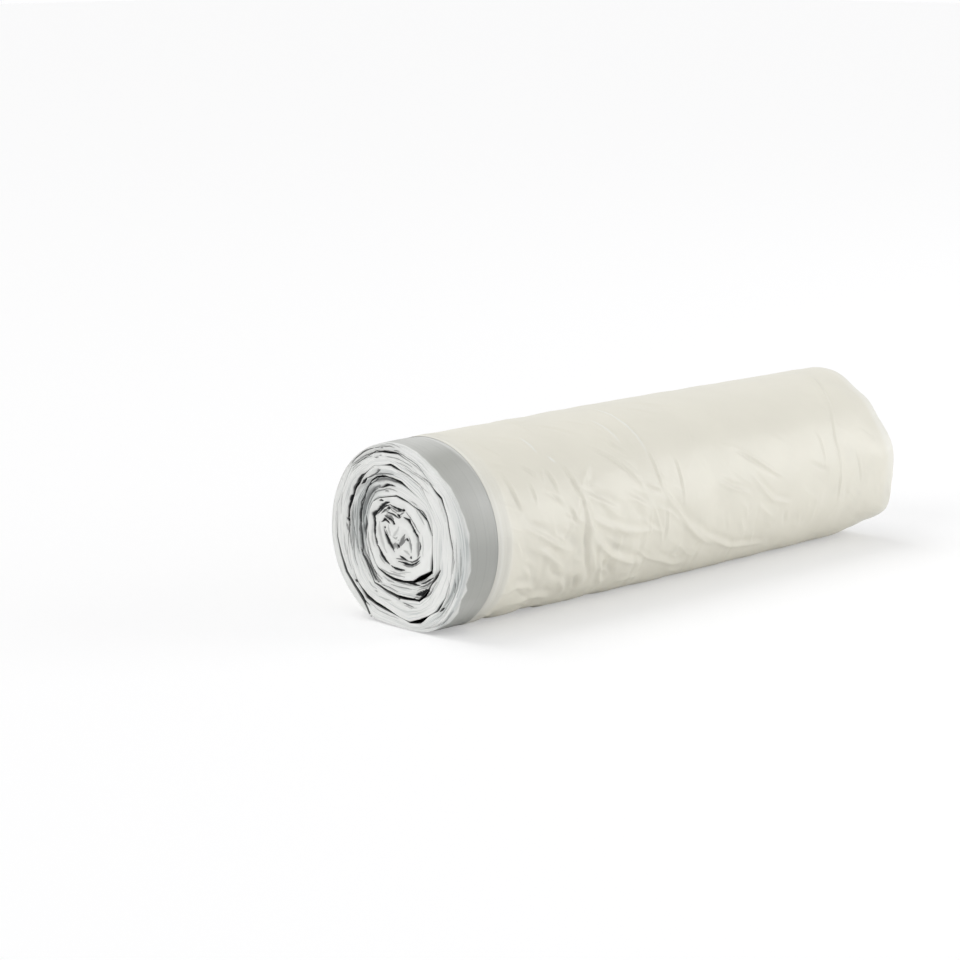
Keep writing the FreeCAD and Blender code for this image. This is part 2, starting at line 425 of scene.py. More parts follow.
WHITE = (0.80, 0.805, 0.785)
BLACK = (0.006, 0.007, 0.008)
# Film: its darker colour is painted shade in creases, and beside the tape partly painted shade and partly the
# grey tape seen through the film; its paler one is painted highlights and the whiter seal.
FILM = Finish(
    "bag_film_cream", (0.768, 0.745, 0.653), hollow=(0.49, 0.48, 0.43), tint=(0.886, 0.896, 0.872),
    roughness=0.42, mottle=0.04,
)
# Edges: black is painted shade deep in the gaps and cracks; blue grey is painted shade in recesses, at the
# seams of single films and on a greyer outer rim on the right.
EDGES = Finish("folded_edges_white", WHITE, hollow=BLACK, tint=(0.33, 0.37, 0.37), gloss=0.2, coat=0.0)
# Tape: its darker grey is painted shade low on the tape and the grey of its fine lines; its white is the film
# that laps over its edges and a painted highlight near its top.
TAPE = Finish(
    "tape_grey", (0.405, 0.41, 0.385), hollow=(0.25, 0.26, 0.25), tint=WHITE,
    roughness=0.45, mottle=0.08, crinkle=0.03, coat=0.08, stretch=1.0,
)
# The inside: near-black painted shade, where no light reaches between the wound turns.
INSIDE_SHADE = Finish(
    "painted_shade_inside", (0.02, 0.02, 0.02), hollow=BLACK, tint=BLACK,
    roughness=0.8, mottle=0.0, crinkle=0.0, gloss=0.0, coat=0.0,
)


# ---------------- the roll's form

# The gap between the turns, from the free edge inwards: the corners that the stiff film bends at, each
# an angle along the winding and a distance from the round's centre, as a share of its radius.
GAP_CORNERS = (
    (206, 0.962), (216, 0.900), (229, 0.884), (240, 0.902), (253, 0.905), (264, 0.925), (285, 0.935),
    (315, 0.950), (340, 0.930), (360, 0.890), (380, 0.850), (405, 0.805), (411, 0.825), (424, 0.800),
    (450, 0.800), (469, 0.820), (485, 0.840), (498, 0.856), (518, 0.851), (528, 0.842), (545, 0.778),
    (566, 0.797), (576, 0.830), (590, 0.825), (605, 0.790), (620, 0.775), (644, 0.780), (664, 0.795),
    (681, 0.790), (695, 0.798), (713, 0.767), (734, 0.711), (749, 0.700), (790, 0.668), (830, 0.640),
    (845, 0.606), (858, 0.630), (872, 0.652), (900, 0.585), (915, 0.573), (935, 0.606), (946, 0.580),
    (958, 0.577), (967, 0.600), (982, 0.580), (997, 0.600), (1018, 0.652), (1043, 0.690), (1052, 0.686),
    (1063, 0.657), (1087, 0.600), (1112, 0.577), (1125, 0.600), (1140, 0.575), (1157, 0.520),
    (1185, 0.520), (1197, 0.552), (1208, 0.500), (1230, 0.455), (1248, 0.426), (1266, 0.414),
    (1284, 0.420), (1300, 0.440), (1340, 0.470), (1381, 0.490), (1394, 0.500), (1406, 0.480),
    (1438, 0.452), (1460, 0.440), (1481, 0.465), (1500, 0.500), (1517, 0.520),
)

# Where the gap opens: the angle along the winding, the stretch it takes, and the extra width.
OPENINGS = (
    (218, 10, 0.35), (240, 20, 0.70), (322, 12, 0.10), (352, 14, 0.50), (409, 6, 0.60), (440, 30, 0.25),
    (495, 5, 0.50), (518, 9, 1.30), (562, 18, 1.10), (576, 7, 0.70), (655, 14, 0.50), (669, 6, 0.70),
    (716, 7, 0.90), (840, 7, 0.60), (862, 9, 1.00), (900, 28, 1.10), (1050, 22, 0.30), (1083, 10, 1.00),
    (1190, 10, 0.80), (1212, 16, 1.80), (1262, 30, 1.05), (1330, 30, 0.20), (1447, 12, 0.60),
    (1492, 20, 0.40),
)

# Where two turns lie so close that the gap doesn't show: the angle along the winding and the stretch.
CLOSINGS = ((308, 36), (380, 14), (470, 20), (506, 6), (538, 9), (610, 20), (696, 14), (795, 32), (1128, 24))


@dataclass(frozen=True)
class RollForm:
    """The outline and the winding of the roll, in millimetres.

    Attributes:
        radius: The round of the outermost turn.
        half_length: Half of the roll's length.
        tape_end: The X of the tape's edge away from the hemmed end.
        rest_width: The flat that the roll lies on.
        rest_blend: The soft corner between that flat and the round.
        free_edge: The angle of the free edge, just past the flat.
        hem_set_back: How far the hemmed end's lips lie back from the roll's reach.
    """

    radius: float
    half_length: float
    tape_end: float
    rest_width: float = 18.0
    rest_blend: float = 19.0
    free_edge: float = 206.0
    hem_set_back: float = 0.8

    @property
    def centre_up(self) -> float:
        """The height of the round's centre."""
        return self.rest_blend + math.sqrt((self.radius - self.rest_blend) ** 2 - (self.rest_width / 2) ** 2)

    @property
    def hem_x(self) -> float:
        """The X of the hemmed end's lips."""
        return self.hem_set_back - self.half_length

    @property
    def last_angle(self) -> float:
        """The angle along the winding where the last turn meets the heart."""
        return float(GAP_CORNERS[-1][0])

    def outline(self, angle: Array) -> Array:
        """How far the outline is from the round's centre.

        Args:
            angle: The angles to read it at.

        Returns:
            The distance at each angle.
        """
        turned = np.radians(angle)
        across, down = np.abs(np.sin(turned)), -np.cos(turned)
        half, centre = self.rest_width / 2, self.centre_up
        corner_down = centre - self.rest_blend
        safe = np.where(down > 1e-6, down, 1e-6)
        along = half * across + corner_down * down
        off_axis = half**2 + corner_down**2 - along**2
        blend = along + np.sqrt(np.maximum(self.rest_blend**2 - off_axis, 0.0))
        far = np.where((down > 0) & (across / safe < half / corner_down), blend, self.radius)
        return np.where((down > 0) & (across / safe <= half / centre), centre / safe, far)

    def shoulder(self, angle: Array, x: Array) -> Array:
        """How far the outermost turn slopes in towards the hemmed end.

        Args:
            angle: The angles to read it at.
            x: The places along the roll.

        Returns:
            The drop at each place.
        """
        drop = bells(angle, (33.0, 32.0, 1.7), (214.0, 24.0, 1.0))
        return drop * ramp(x, self.hem_x + 9.0, self.hem_x - 0.5)

    def fold_back(self, angle: Array) -> Array:
        """How far the outermost film ends short of the roll's reach at the folded end.

        Args:
            angle: The angles to read it at.

        Returns:
            The distance at each angle.
        """
        turned = np.radians(angle)
        uneven = 0.25 * np.sin(2.0 * turned + 0.6) + 0.15 * np.sin(5.0 * turned)
        return 0.3 + uneven + bells(angle, (42.0, 30.0, 0.8), (250.0, 60.0, 0.8), (112.0, 34.0, -0.9))

    def dented(self, angle: Array) -> Array:
        """How far the outermost turn is pressed in, or bulges out below 0, at the folded end.

        Args:
            angle: The angles to read it at.

        Returns:
            The dent at each angle.
        """
        top = bells(angle, (30.0, 14.0, 1.9), (57.0, 13.0, 1.7))
        side = bells(angle, (81.0, 11.0, -0.7), (119.0, 11.0, -2.4))
        low = bells(angle, (143.0, 10.0, 1.5), (158.0, 11.0, 1.0))
        return top + side + low

    def gap(self, angle: Array) -> Array:
        """How far the middle of the gap is from the round's centre, straight from corner to corner.

        Args:
            angle: Angles along the winding.

        Returns:
            The distance at each angle.
        """
        corners = np.array(GAP_CORNERS, dtype=float)
        turned, far = np.radians(corners[:, 0]), corners[:, 1] * self.radius
        spots = np.stack([far * np.sin(turned), far * np.cos(turned)], axis=-1)
        k = np.clip(np.searchsorted(corners[:, 0], angle, side="right") - 1, 0, len(corners) - 2)
        start, way = spots[k], spots[k + 1] - spots[k]
        held = np.radians(np.clip(angle, corners[0, 0], corners[-1, 0]))
        toward = np.stack([np.sin(held), np.cos(held)], axis=-1)
        reach = start[..., 0] * way[..., 1] - start[..., 1] * way[..., 0]
        return reach / (toward[..., 0] * way[..., 1] - toward[..., 1] * way[..., 0])

    def openness(self, angle: Array) -> Array:
        """How far the gap shows: 1 where it does, and 0 where the turns lie close.

        Args:
            angle: Angles along the winding.

        Returns:
            The share at each angle.
        """
        return np.clip(1.0 - sum(bump(angle, middle, stretch) for middle, stretch in CLOSINGS), 0.0, 1.0)

    def half_gap(self, angle: Array) -> Array:
        """Half of the gap's width.

        Args:
            angle: Angles along the winding.

        Returns:
            The half width at each angle.
        """
        wide = sum(extra * bump(angle, middle, stretch) for middle, stretch, extra in OPENINGS)
        return 0.03 + 0.07 * self.openness(angle) + 0.4 * wide

    def heart_rim(self, angle: Array) -> Array:
        """How far the heart's rim is from the round's centre, just inside the last turn's gap.

        Args:
            angle: Angles from 0 to 360.

        Returns:
            The distance at each angle.
        """
        along = self.last_angle - (self.last_angle - angle) % 360.0
        return self.gap(along) - self.half_gap(along)

    def place(self, angle: Array, distance: Array) -> Array:
        """Points round the roll's axis.

        Args:
            angle: Their angles.
            distance: Their distances from the round's centre.

        Returns:
            Their Y and Z, in a last axis of 2.
        """
        turned = np.radians(angle)
        return np.stack([-distance * np.sin(turned), self.centre_up + distance * np.cos(turned)], axis=-1)


# ---------------- the wound ends

# How far apart a crack bends, and by how much at most, in millimetres.
BEND_STEP = 1.6
BEND = 0.12
# How deep a crack's bottom and its flanks are carved, and how dark its flanks are painted with shade,
# as shares of its own.
BOTTOM_DEPTH = 0.3
FLANK_DEPTH = 0.16
FLANK_DARK = 0.12
# How far apart the winding is measured, in degrees.
FINE_STEP = 0.25


@dataclass(frozen=True)
class Crack:
    """A crack or a dent between layers of film on an end, darkened with painted shade.

    Attributes:
        line: Its points, across and up in turn, in hundredths of the radius.
        width: Its width in millimetres, at its middle.
        depth: How deep it would be, in millimetres. It is carved to about half of this.
        dark: How dark its bottom is painted, from 0 to 1, as painted shade.
        soft: Whether it is a soft dent without an edge.
    """

    line: tuple[float, ...]
    width: float
    depth: float
    dark: float
    soft: bool = False

    def ragged(self, radius: float, rng: Random) -> Array:
        """The crack's line, bent a little every few millimetres.

        Args:
            radius: The roll's radius.
            rng: The source of random numbers.

        Returns:
            The line's points, in millimetres.
        """
        line = np.reshape(self.line, (-1, 2)) / 100.0 * radius
        run = run_of(line)
        at = np.linspace(0.0, run[-1], max(3, int(run[-1] / BEND_STEP)))
        bent = on_line(line, run, at)
        bent[1:-1] += rng.uniform(-BEND, BEND, (len(at) - 2, 2))
        return bent

    def carve(self, spots: Array, radius: float, depth: Array, hollow: Array, rng: Random) -> None:
        """Deepens the film along the crack and darkens it with painted shade.

        Args:
            spots: Places across and up, rows by 2, in millimetres.
            radius: The roll's radius.
            depth: The depth at each place, which is changed.
            hollow: The painted shade at each place, which is changed.
            rng: The source of random numbers.
        """
        line = self.ragged(radius, rng)
        reach = 2.5 * self.width + 1.0
        inside = (spots > line.min(axis=0) - reach) & (spots < line.max(axis=0) + reach)
        near = np.flatnonzero(inside.all(axis=1))
        apart, share, _ = beside(spots[near], line)
        uneven = 1.0 + 0.25 * np.interp(share, np.linspace(0.0, 1.0, 12), rng.uniform(-1.0, 1.0, 12))
        half = 0.5 * self.width * uneven * np.maximum(np.sin(np.pi * share), 0.1) ** 0.6 + 0.03
        bottom = np.exp(-((apart / half) ** (2 if self.soft else 8)))
        flank = np.exp(-((apart / (self.width + 0.6)) ** 2))
        depth[near] += self.depth * (BOTTOM_DEPTH * bottom + FLANK_DEPTH * flank)
        hollow[near] = np.maximum(hollow[near], self.dark * np.maximum(bottom, FLANK_DARK * flank))


# The cracks between the folds of the heart, darkened with painted shade. Each row is as in Crack.
HEART_CRACKS = tuple(Crack(*row) for row in (
    # the ring round the folds, painted black with painted shade
    ((-11.8, 37.6, -17.8, 35.5, -23.8, 31.6, -28.8, 27.5, -32.8, 23.5), 1.1, 1.4, 1),
    ((-29.8, 26.3, -33.3, 22.8, -36.8, 20.2, -34.3, 14.8), 1.6, 1.6, 1),
    ((-35.8, 19.8, -34.3, 14.8, -34.5, 8.8, -33.8, 2.8, -32.5, -3.2), 1.35, 1.2, 1),
    ((-33.3, 0.8, -32.3, -4.2, -30.8, -10.2), 1.05, 1.0, 0.95),
    ((-30.8, -9.2, -26.8, -14.2, -22.8, -19.2, -17.8, -23.7, -11.8, -26.8), 1.3, 1.2, 1),
    ((-9.8, -27.7, -5.8, -29.2, 0.2, -29.7, 6.2, -30.2, 10.7, -29.2), 0.91, 1.0, 1),
    ((9.7, 25, 14.2, 23.8, 18.7, 20.8, 21.7, 16.6), 1.15, 1.2, 1),
    ((17.2, 22, 21.7, 16.6, 25.2, 12.3, 29.2, 6.8, 31.2, 1.8), 1.05, 1.2, 1),
    ((30.7, 3.8, 32.4, -2.2, 31, -7.2), 1.17, 1.2, 1),
    ((27.2, 7.8, 29.2, 0.8, 29.2, -7.2, 28.2, -11.2), 1.1, 1.5, 0.66, True),
    ((30.2, -4.2, 30.2, -9.2, 28.2, -13.2), 0.64, 0.6, 0.72),
    # the folds above the heart
    ((-11.8, 34.6, -16.8, 33.5, -21.8, 30, -26.8, 26, -30.8, 22.3), 0.6, 0.7, 1),
    ((-14.8, 36, -19.8, 33.3, -25.3, 28.8, -28.8, 24.8), 0.44, 0.5, 0.72),
    ((-10.8, 31.6, -13.8, 31, -15.8, 30.8), 1.17, 0.9, 1),
    ((-13.8, 31, -18.8, 29.3, -22.8, 26, -25.3, 23.8), 0.55, 0.6, 0.9),
    ((-12.8, 29, -17.8, 28, -22.8, 25), 0.44, 0.4, 0.6),
    ((-11.8, 35, -7.8, 34.3, -3.8, 32.3, 1.2, 31.2, 7.2, 32.4, 11.2, 32.1), 0.78, 1.0, 1),
    ((-1.8, 31.6, 2.2, 31.1, 5.2, 32.3), 1.09, 0.8, 1),
    ((6.7, 31, 8.7, 32, 10.7, 32.6), 1.04, 0.8, 1),
    ((-10.8, 33, -6.8, 31, -2.8, 29.5, 2.2, 29, 7.2, 30.3), 0.52, 0.6, 0.78),
    ((-11.8, 32.3, -7.8, 29.3, -3.8, 27.8, -1.8, 27.1), 0.44, 0.5, 0.6),
    ((-1.3, 26.3, 1.7, 25, 4.2, 24.3), 1.17, 0.9, 1),
    ((1.7, 25, 5.2, 27.3, 9.2, 29.8), 0.52, 0.6, 0.72),
    ((-16.8, 27.1, -10.8, 26.8, -5.8, 25.2, -1.8, 23.1, 1.2, 22.6), 0.7, 0.9, 0.96),
    ((0.2, 22.6, 3.2, 23.6, 6.2, 25.8), 0.47, 0.5, 0.66),
    ((-17.8, 25.6, -12.8, 25, -7.8, 23.6), 0.39, 0.4, 0.42),
    # the folds inside, on the left
    ((-19.3, 22.3, -14.8, 22.6, -9.8, 20.8, -4.8, 16.3), 1.89, 1.2, 0.74),
    ((-18.8, 21.6, -13.8, 20.5, -8.8, 18.4, -5.3, 15.6), 0.75, 1.0, 1),
    ((-8.3, 18, -5.8, 16.1, -4.6, 15.8), 1.24, 1.0, 1),
    ((-24.3, 15.3, -21.3, 18, -18.3, 18.6, -13.8, 16.4, -11.8, 15.3), 0.78, 0.9, 1),
    ((-21.8, 17.8, -19.8, 18.5, -17.8, 18.5), 1.04, 0.9, 1),
    ((-19, 11.3, -18.6, 9.6), 1.32, 0.9, 1),
    ((-20.8, 8.8, -19.8, 4.8, -16.8, -0.2, -12.8, -6.2, -8.8, -10.4, -5.3, -13), 1, 1.2, 1),
    ((-18.8, 4.8, -15.3, -0.2, -10.8, -5.7, -5.8, -10.2), 1.4, 1.4, 0.83, True),
    ((-17.8, 8.3, -16.3, 5.3, -13.8, 2.3), 0.78, 0.6, 0.6),
    ((-27.3, 14.8, -26.3, 4.8, -22.8, -6.2, -15.8, -15.2), 1.6, 0.8, 0.34, True),
    ((-13.8, 13.8, -13.3, 7.8, -10.8, 2.8), 1.2, 0.8, 0.34, True),
    # the folds inside, on the right
    ((-7.8, -6, -3.8, -6.4, 1.2, -7.2), 2.09, 1.0, 0.6),
    ((-2.8, -5.7, -0.8, -7, 1, -7.4), 1.24, 1.0, 1),
    ((0.2, -5.7, 3.7, -1.7, 6.7, 2.8, 9.7, 7.1), 1.09, 0.9, 0.72),
    ((3.2, -5.7, 6.2, -2.2, 9.7, 1.8, 12.2, 3.8), 0.78, 0.8, 0.72),
    ((1.2, -6.2, 5.2, -1.2, 9.2, 4.3), 1.4, 0.9, 0.73, True),
    ((11.7, 1.8, 13.2, 2.6, 13.4, 3.8), 1.37, 1.0, 1),
    ((16, 6, 17.9, 1.8, 18.9, -4.2, 18.7, -10.2), 0.95, 0.9, 0.72),
    ((14.2, 2.8, 16.7, -1.2, 17.2, -7.2), 0.8, 0.8, 0.62, True),
    ((17.2, -15.2, 18.7, -15.5, 20, -15.4), 1.09, 0.9, 1),
    ((8.2, -9.2, 13.2, -11.2, 16.2, -13.2), 0.9, 0.6, 0.42, True),
    ((3.2, -15.7, 7.2, -18, 11.7, -19), 1.17, 1.0, 1),
    ((-1.8, -19.2, 4.2, -18.7, 10.2, -19.4, 16.2, -19.9), 0.75, 0.8, 0.72),
    ((13.2, -19.8, 20.2, -19.4, 27.2, -16.7, 32.7, -11.7), 0.64, 0.8, 0.9),
    ((1.2, -21.7, 6.2, -22.2, 11.2, -23.2, 18.2, -22.8, 25.2, -20.2, 31.2, -16.2), 0.87, 0.9, 1),
    ((7.2, -22.9, 11.2, -23.3, 15.2, -23), 1.09, 0.8, 1),
    ((6.2, -24.4, 13.2, -25.2, 21.2, -24, 28.2, -21.2, 32.7, -17.7), 0.56, 0.6, 0.72),
    ((2.2, 13.8, -1.8, 7.8, -6.8, 2.8), 1.3, 0.9, 0.29, True),
    ((-6.8, 1.8, -3.8, 0.8, -0.8, 3.3), 0.64, 0.5, 0.42),
    # faint folds round the ring
    ((12.2, 31, 18.2, 26, 24.2, 20.5, 29.2, 15.3, 31.7, 11.8), 0.56, 0.7, 0.78),
    ((-25.8, 37.3, -23.3, 38, -20.8, 37.6), 0.78, 0.7, 1),
    ((-43.8, 3.8, -42.8, -7.2, -38.8, -18.2), 0.9, 0.8, 0.52, True),
    ((-37.8, 34.8, -41.8, 26.8, -42.8, 16.8), 0.8, 0.8, 0.62, True),
    ((-37.8, 10.8, -37.8, -1.2, -34.8, -11.2), 1, 0.8, 0.31, True),
    ((-26.8, -19.2, -22.8, -23.7, -18.8, -27.2), 0.6, 0.6, 0.52, True),
    ((-28.8, -32.2, -16.8, -35.7, -1.8, -36.7, 11.2, -36.2), 0.52, 0.6, 0.48),
    ((-11.8, -33.2, 0.2, -34.4, 12.2, -33), 0.47, 0.5, 0.36),
    ((-3.8, -31.2, 8.2, -32, 20.2, -29.7), 0.44, 0.4, 0.3),
    ((28.2, 34.8, 34.2, 28.8, 39.2, 21.8), 0.64, 0.6, 0.36),
    ((36.2, 10.8, 37.7, 0.8, 36.7, -11.2), 0.8, 0.6, 0.29, True),
))

# The cracks between the layers of the turns, likewise darkened with painted shade.
TURN_CRACKS = tuple(Crack(*row) for row in (
    # the outer turn at the top
    ((-68, 70, -60, 77, -50, 84, -40, 88.5, -35, 90), 0.42, 1, 0.78),
    ((-33, 90.5, -25, 93, -18, 94.3, -10, 95, -4, 94.5), 0.36, 0.9, 0.71),
    ((-67, 69, -58, 74.5, -50, 80, -42, 83, -34, 85.5), 0.33, 0.9, 0.63),
    ((-42, 83, -34, 85.5, -25, 87.5, -17, 89.5, -5, 90, 10, 88.5), 0.37, 0.9, 0.71),
    ((-66, 65, -55, 74, -45, 79, -36, 81.5), 0.26, 0.7, 0.47),
    ((-67, 62, -60, 67, -54, 71), 0.26, 0.6, 0.39),
    ((-33, 80.8, -30, 81.4, -27, 82), 0.42, 0.7, 0.66),
    ((-26, 83.5, -22, 84.5), 0.33, 0.6, 0.54),
    ((-24, 91.5, -20, 92.2), 0.36, 0.6, 0.63),
    ((-17, 97.2, -10, 97.8, 0, 96.8, 5, 95.5), 0.28, 0.5, 0.39),
    ((-5, 91.2, 0, 92, 4, 91.4), 0.39, 0.6, 0.54),
    ((-15, 83.8, -5, 84.2, 5, 83.5, 12, 81.5, 22, 78.5), 0.33, 0.7, 0.51),
    ((0, 80, 10, 78.5, 20, 75, 30, 71.5, 38, 69.5), 0.29, 0.6, 0.43),
    ((36, 69.5, 42, 68.3, 47, 66, 52, 63.5), 0.49, 0.8, 0.59),
    ((12, 75.7, 30, 70, 40, 66, 46, 63), 0.29, 0.6, 0.43),
    ((18, 83.5, 28, 79.5, 37, 75.5), 0.37, 0.7, 0.43),
    ((5, 87, 18, 83.5, 30, 78.5), 0.24, 0.5, 0.27),
    ((10, 70.5, 25, 65.5, 35, 60.5, 47, 55), 0.29, 0.5, 0.31),
    ((2, 70, 15, 67, 28, 62, 36, 57), 0.24, 0.5, 0.24),
    ((60, 50, 65, 41, 70, 30), 0.88, 0.7, 0.22, True),
    # the second turn and the steps at the top left
    ((-77.5, 10, -76.5, 14, -74, 26, -72, 33, -67, 40), 0.72, 1.2, 1),
    ((-73.5, 30, -71, 34.5, -69, 37), 1.16, 1.2, 1),
    ((-68, 38.5, -62, 48, -60, 53, -54, 59, -48.5, 62.2), 0.8, 1.2, 1),
    ((-78.5, 11, -76.5, 9.5, -75.5, 7), 0.87, 1, 1),
    ((-56, 50, -52, 53, -47.5, 57.2), 1.01, 1.2, 1),
    ((-48, 57, -42, 59.2, -36, 62, -30, 66, -26, 69.2), 0.52, 0.9, 0.75),
    ((-31, 66.5, -28, 68.2, -26, 68.8), 1.01, 0.9, 0.6),
    ((-36, 62, -28, 64, -20, 65.7, -12, 66.5, -6, 66.8), 0.58, 0.9, 0.65),
    ((-40, 53, -34, 56.5, -29.5, 60.5, -24, 62.2, -18, 62.2), 0.61, 1, 0.85),
    ((-27, 61.5, -24, 62.4, -21, 62.4), 0.87, 1, 1),
    ((-33, 57.5, -22, 60, -10, 60, 0, 59), 0.72, 1, 0.75),
    ((-12, 61.5, -8, 62.2, -4, 61.7), 0.8, 1, 0.95),
    ((-36, 55, -25, 59, -12, 61, 0, 60), 1.6, 1, 0.52, True),
    ((-30, 50, -25, 50.5, -20, 53, -15, 54.8, -9, 55.2, -4, 54.8), 0.75, 1.2, 1),
    ((-22, 52, -17, 54.2, -12, 55.1), 1.16, 1.2, 1),
    ((-60, 8, -60, 17, -58, 24, -54, 33, -51, 41), 0.72, 1.2, 0.9),
    ((-53, 36, -50.5, 42, -48, 46, -45, 50, -39, 53.5), 0.72, 1.2, 0.95),
    ((-53, 18, -50, 28, -45, 37, -41, 43, -36, 46.5, -29, 50), 0.58, 1, 0.7),
    ((-48, 20, -46, 28, -41, 37, -35, 44, -28, 47.5, -20, 49), 0.52, 0.9, 0.6),
    ((-45, 24, -42, 30, -36, 36, -29, 40.5), 0.43, 0.7, 0.4),
    ((-25, 47.5, -17, 51, -10, 51, 0, 50), 0.43, 0.6, 0.5),
    ((-20, 47.5, -16, 48.5, -13, 48), 0.58, 0.6, 0.55),
    ((-66, 36, -58, 46, -50, 52, -42, 56.5), 2.2, 1, 0.32, True),
    ((-56, 10, -54, 25, -47, 38, -38, 47, -28, 52), 2.6, 1, 0.61, True),
    # the valley on the left
    ((-50, 17, -49, 10, -51.5, 2, -50, -5), 1.8, 1, 1, True),
    ((-54.5, 13, -54.5, 5, -52, -3), 0.65, 0.9, 0.65),
    ((-60, 10, -60.5, 5, -58, -3, -55, -12), 0.65, 0.9, 0.65),
    ((-57, 6, -57, -4, -55, -16, -51, -24), 2.2, 1, 0.61, True),
    ((-68, 29, -70, 20, -70.5, 12, -68.5, 3, -65, -10), 0.61, 0.8, 0.6),
    ((-64, 30, -66, 20, -66.5, 10), 0.49, 0.7, 0.45),
    ((-69, 2, -69, -10, -68, -20, -66, -28, -62, -35.5), 0.61, 0.8, 0.6),
    ((-74, 8, -75.5, 2, -74, -7, -72, -15, -70, -21), 0.61, 0.8, 0.6),
    ((-79, 6, -77.5, 2, -76.5, -2), 0.72, 0.8, 0.6),
    ((-65, -4, -63, -14, -59.5, -23), 0.52, 0.7, 0.45),
    ((-70, 25, -72, 10, -71, -5, -68, -18), 2.2, 0.8, 0.35, True),
    ((-78, -18, -76, -30, -71, -41), 0.49, 0.5, 0.3),
    ((-82, -5, -81, -18, -78, -27), 0.43, 0.5, 0.3),
    ((-82, 38, -85, 27, -86, 15), 0.52, 0.5, 0.3),
    ((-93, 16, -93.5, 5, -92, -8), 0.52, 0.4, 0.22),
    # the layers at the lower left, dark with painted shade
    ((-25, -47.5, -31, -43.5, -37, -37.5, -42, -32, -46, -26.5, -50, -21, -52.5, -15), 0.72, 1.2, 1),
    ((-29, -48.5, -34, -46, -40, -39.5, -45, -33, -50, -28, -55, -22.5, -58, -16.5), 0.58, 1.1, 0.9),
    ((-26, -48, -33, -44.8, -39, -38.5, -44, -32.2, -49, -25.5), 0.43, 0.9, 0.75),
    ((-28, -47.5, -36, -41.5, -44, -32, -52, -21, -57, -10), 1.9, 1, 0.5, True),
    ((-23, -44, -30, -41, -36, -36, -42, -29, -46, -20, -50, -10, -52, 0), 0.52, 0.9, 0.65),
    ((-46, -12, -44.5, -20, -41, -27), 0.43, 0.6, 0.4),
    ((-60, -20, -55, -29, -47, -38, -40, -46), 0.43, 0.6, 0.4),
    ((-44, -50, -38, -54.5, -32, -56), 0.49, 0.5, 0.35),
    ((-35, -58, -31, -59), 0.58, 0.5, 0.5),
    ((-30, -63, -20, -64.5, -10, -64), 0.43, 0.5, 0.35),
    ((-66, -52, -64, -53, -62.5, -54), 0.87, 0.8, 0.95),
    ((-62, -61, -56, -67.5, -51, -72.8, -45, -75.2), 0.61, 0.9, 0.8),
    ((-44, -73, -32, -77.5, -18, -80, 0, -81.5), 0.38, 0.6, 0.4),
    ((-51, -64.2, -47, -66.8, -43, -68.2), 1.16, 1.1, 1),
    # the layers at the bottom
    ((-25, -50, -14, -50.5, 0, -53.5), 0.41, 0.7, 0.45),
    ((-22, -55, -10, -57.5, 3, -59.7), 0.49, 0.8, 0.6),
    ((0.5, -60.8, 2.5, -60.7), 0.72, 0.7, 0.85),
    ((8, -63.5, 15, -64.5, 23, -65.5), 0.49, 0.8, 0.75),
    ((10, -66, 20, -66.8, 28, -65.5), 0.38, 0.5, 0.4),
    ((-28, -34, -20, -37, -12, -38), 0.38, 0.6, 0.4),
    ((-22, -40.5, -14, -44, -5, -44.7), 0.49, 0.7, 0.45),
    ((-2, -43.4, 10, -44, 22, -43.7), 0.41, 0.7, 0.45),
    ((-10, -47.3, 5, -47.6, 20, -47.8), 0.43, 0.7, 0.5),
    ((10, -41.2, 20, -41.5, 28, -42.2, 31.5, -42), 0.87, 1, 1),
    ((33, -40, 40, -37.2, 46, -34, 50.5, -31), 0.72, 1.1, 0.95),
    ((24, -39, 34, -37, 43, -32.5), 1.3, 1, 0.6, True),
    ((30, -44, 38, -41, 45, -37.5, 52, -33), 0.61, 1, 0.75),
    ((28, -47.5, 35, -44.5, 42, -42, 50, -37), 0.43, 0.8, 0.5),
    ((26.5, -52.2, 32, -50.8, 38, -48.2, 44, -45.7), 1.89, 1.4, 1),
    ((36, -47.5, 41, -45, 45.5, -45.2), 0.87, 1.2, 1),
    ((22, -57.2, 26, -54.7, 33, -55, 40, -52.5, 46, -48, 52, -42, 57, -34), 0.58, 1, 0.7),
    ((53, -32.5, 56.5, -28, 59, -23.5, 61.8, -21.2), 0.87, 1.2, 1),
    ((50, -36, 55, -31, 58, -25), 1.2, 0.8, 0.3, True),
    # the layers on the right
    ((61, -63.5, 64.5, -60.7, 68, -58.5), 0.8, 1, 0.95),
    ((66, -57.5, 73, -50, 79, -42, 81, -33), 1.3, 0.9, 0.36, True),
    ((63, -70.5, 66, -69.5, 69, -67.5), 0.61, 0.8, 0.9),
    ((61, -73.5, 65, -72.2, 68, -70.5), 0.52, 0.8, 0.8),
    ((58, -77, 68, -70, 77, -60, 83, -48), 0.43, 0.6, 0.5),
    ((50, -80, 62, -76.5, 72, -69, 80, -59), 0.43, 0.6, 0.45),
    ((40, -84.5, 55, -80, 66, -74), 0.38, 0.6, 0.4),
    ((82, -27, 82.8, -35, 81.5, -41), 0.72, 0.7, 0.6),
    ((87, -10, 88, -25, 85, -40), 0.43, 0.5, 0.4),
    ((91, 5, 92, -12, 90, -28), 0.58, 0.5, 0.4),
    ((80, 10, 80, 0, 81.2, -10, 79, -22), 0.58, 0.6, 0.45),
    ((85, 14, 85.3, -2, 84.5, -20), 0.58, 0.5, 0.35),
    ((74, -30, 75, -40, 70, -50), 0.58, 0.5, 0.3),
    ((30, 36.3, 34.5, 35.7, 40, 30.5, 43, 24, 46.5, 15), 0.72, 1, 0.85),
    ((36, 32, 42, 24, 45.5, 14, 47, 2), 1.6, 0.8, 0.3, True),
    ((40, 37, 46, 33, 50, 25), 1.2, 0.6, 0.2, True),
    ((20, 43, 25, 41.5, 29, 40), 0.43, 0.6, 0.45),
    ((30, -79, 33, -79.5, 35.5, -77.2), 0.72, 0.9, 0.9),
))

